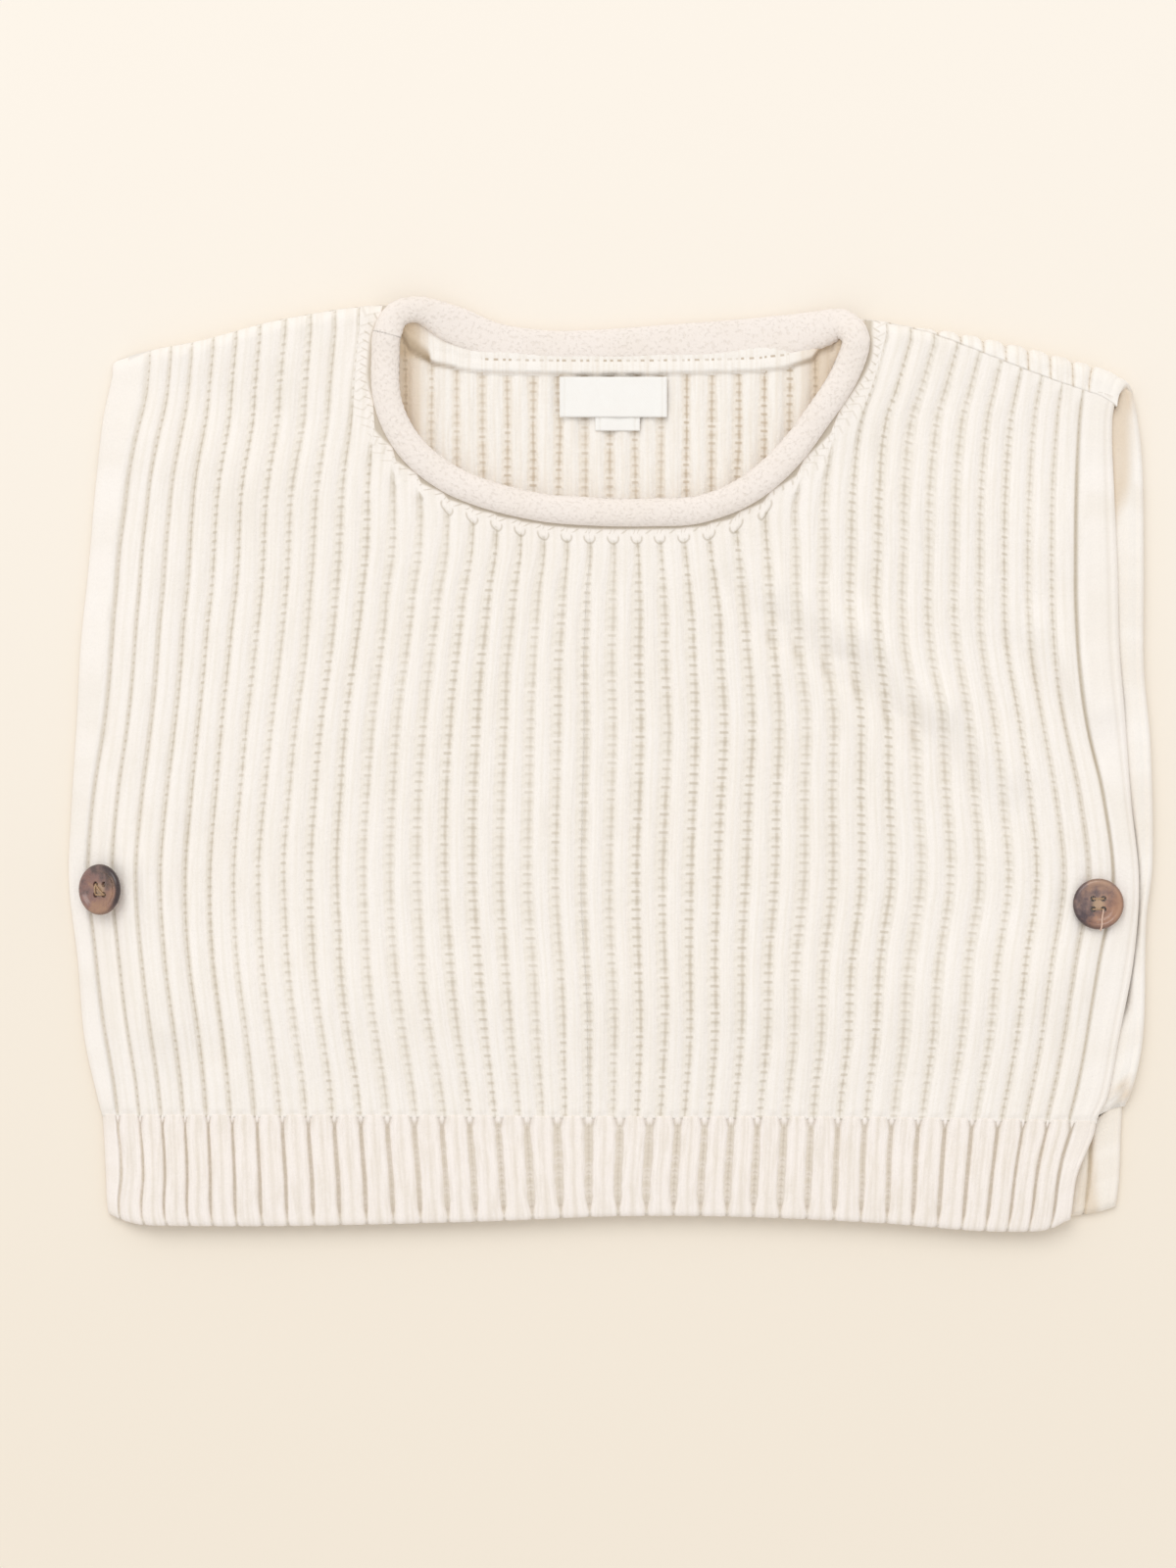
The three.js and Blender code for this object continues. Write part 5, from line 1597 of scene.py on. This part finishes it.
# The back's copy has warmer, darker grooves, partly painted shade inside the neck opening.
back_yarn = cotton_knit(
    "cotton_back", shade(252, 247, 241), shade(239, 230, 218), shade(190, 170, 144), 0.5)
hem_yarn = cotton_knit(
    "cotton_hem", shade(251, 243, 237), shade(230, 220, 206), shade(178, 163, 144), 0.25)
# The back hem shows only in shade at the right side, so its copy has painted shade: a warmer groove colour.
back_hem_yarn_in_shade = cotton_knit("cotton_back_hem", shade(250, 243, 234), shade(230, 218, 200), DARK_STITCHES_AND_SHADE, 0.3)
neck_yarn = purl_knit("cotton_roll")


def dress(piece, material, slot, *nodes):
    piece.data.materials.append(material)
    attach(piece, "root")
    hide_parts(*nodes)
    return piece


front_left = dress(front_half("front_body_left", 0, 20), body_yarn, "rib_knit", "front_body")
front_right = dress(front_half("front_body_right", 20, 40), body_yarn, "rib_knit", "front_body")
back = dress(back_piece("back_panel"), back_yarn, "rib_knit", "back_body")
hem_rows = [
    0, 0.012, 0.03, 0.05, 0.08, *np.linspace(0.12, 0.88, 20),
    0.91, 0.93, 0.95, 0.965, 0.98, 0.99, 1]
front_hem = dress(
    hem_piece("front_hem_knit", HEM_ACROSS, FRONT_HEM_EDGE, front_hem_height, HEM_PLACES, hem_rows),
    hem_yarn, "hem_knit", "front_hem")
back_hem = dress(
    hem_piece("back_hem_knit", BACK_HEM_ACROSS, BACK_HEM_EDGE, lambda x, y, t: 0 * x,
              HEM_PLACES[::2], hem_rows[::2], 0.45, BACK_CORNER_RISE, True),
    back_hem_yarn_in_shade, "hem_knit", "back_hem")
roll = dress(neck_roll("neck_roll"), neck_yarn, "neck_knit", "neckband")
tape = woven_tape()
size_tape = dress(
    woven_label("size_tape", SIZE_LABEL, BACK_TOP + 0.3, 0.4, 3), tape, "label_tape", "label_size")
main_tape = dress(woven_label("main_tape", LABEL, BACK_TOP + 1.0, 0.5, 7), tape, "label_tape", "label_main")

LEFT_LEAN = -0.56
left_disc, left_seat = button_piece("left_button", "button_left", LEFT_LEAN)
right_disc, right_seat = button_piece("right_button", "button_right", 0.0)
dusky = [
    (0.3, shade(76, 62, 60)), (0.42, shade(106, 86, 82)), (0.52, shade(134, 104, 98)),
    (0.62, shade(146, 110, 100)), (0.74, shade(164, 128, 106))]
brown = [
    (0.3, shade(82, 66, 70)), (0.42, shade(114, 94, 92)), (0.52, shade(144, 116, 106)),
    (0.6, shade(166, 132, 114)), (0.72, shade(178, 143, 120))]
left_resin = horn_resin(
    "horn_left", 3.1, (-0.012, -0.02), dusky, shade(164, 124, 96), 0.35, (0.95, 1.0, 0.2))
right_resin = horn_resin(
    "horn_right", 8.4, (0.026, 0.016), brown, shade(172, 122, 92), 0.5, (0.45, -0.6, -0.6))
dress(left_disc, left_resin, "button", "button_left")
dress(right_disc, right_resin, "button", "button_right")
h = HOLE_OFFSET
crossed = [
    over_the_disc(-h, h, h, -h, 2.1), over_the_disc(-h, h, -h, -h, 2.05),
    over_the_disc(h, -h, -h, -h, 2.1)]
plain_pairs = [over_the_disc(-h, h, h, h, 1.72), over_the_disc(-h, -h, h, -h, 1.72)]
loose_end = [
    (h, -h, 0.6), (h - 0.1, -h - 0.5, 1.95), (1.3, -4.0, 2.2), (1.1, -5.8, 2.65),
    (1.0, -6.9, 3.2), (0.8, -8.0, 2.75), (0.7, -8.6, 1.9)]
thread = sewing_thread("sewing_thread", shade(196, 168, 136), shade(150, 118, 88))
pale_thread = sewing_thread("pale_thread", shade(232, 204, 186), shade(206, 168, 148))
for name, seat, lean, paths, finish in (
    ("left_thread", left_seat, LEFT_LEAN, crossed, thread),
    ("right_thread", right_seat, 0.0, plain_pairs, thread),
    ("right_loose_end", right_seat, 0.0, [loose_end], pale_thread),
):
    strand = thread_piece(name, seat, lean, paths, 0.28)
    strand.data.materials.append(finish)
    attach(strand, "root")

# ---- table, light and camera ---------------------------------------------------------

bpy.ops.mesh.primitive_plane_add(size=6, location=(0, 0, 0))
table_top = bpy.context.object
table_top.name = "table_top"
table_top.data.materials.append(paper_backdrop())

ROOM_LIGHT = 0.802  # even light from all round
WINDOW_SIZE = 2.8
WINDOW_POWER = 59.90

world = bpy.data.worlds.new("room")
world.use_nodes = True
world.node_tree.nodes["Background"].inputs["Color"].default_value = (0.995, 0.985, 0.97, 1)
world.node_tree.nodes["Background"].inputs["Strength"].default_value = ROOM_LIGHT
bpy.context.scene.world = world


def softbox(name, where, size, power, color):
    lamp = bpy.data.lights.new(name, "AREA")
    lamp.shape = "SQUARE"
    lamp.size = size
    lamp.energy = power
    lamp.color = color
    light = bpy.data.objects.new(name, lamp)
    light.location = where
    light.rotation_euler = (Vector((0, 0, 0)) - Vector(where)).to_track_quat("-Z", "Y").to_euler()
    bpy.context.scene.collection.objects.link(light)


softbox("window", (-0.8, 2.4, 3.6), WINDOW_SIZE, WINDOW_POWER, (1.0, 0.995, 0.985))

VIEW_HEIGHT = 0.512
EYE_HEIGHT = 1.6
camera_data = bpy.data.cameras.new("camera")
camera_data.sensor_fit = "VERTICAL"
camera_data.sensor_height = 24
camera_data.lens = 24 * EYE_HEIGHT / VIEW_HEIGHT
camera = bpy.data.objects.new("camera", camera_data)
middle = in_frame((-7.7, -5.8, 8.0))
camera.location = (middle[0], middle[1], middle[2] + EYE_HEIGHT)
bpy.context.scene.collection.objects.link(camera)
bpy.context.scene.camera = camera
bpy.context.scene.view_settings.view_transform = "Standard"
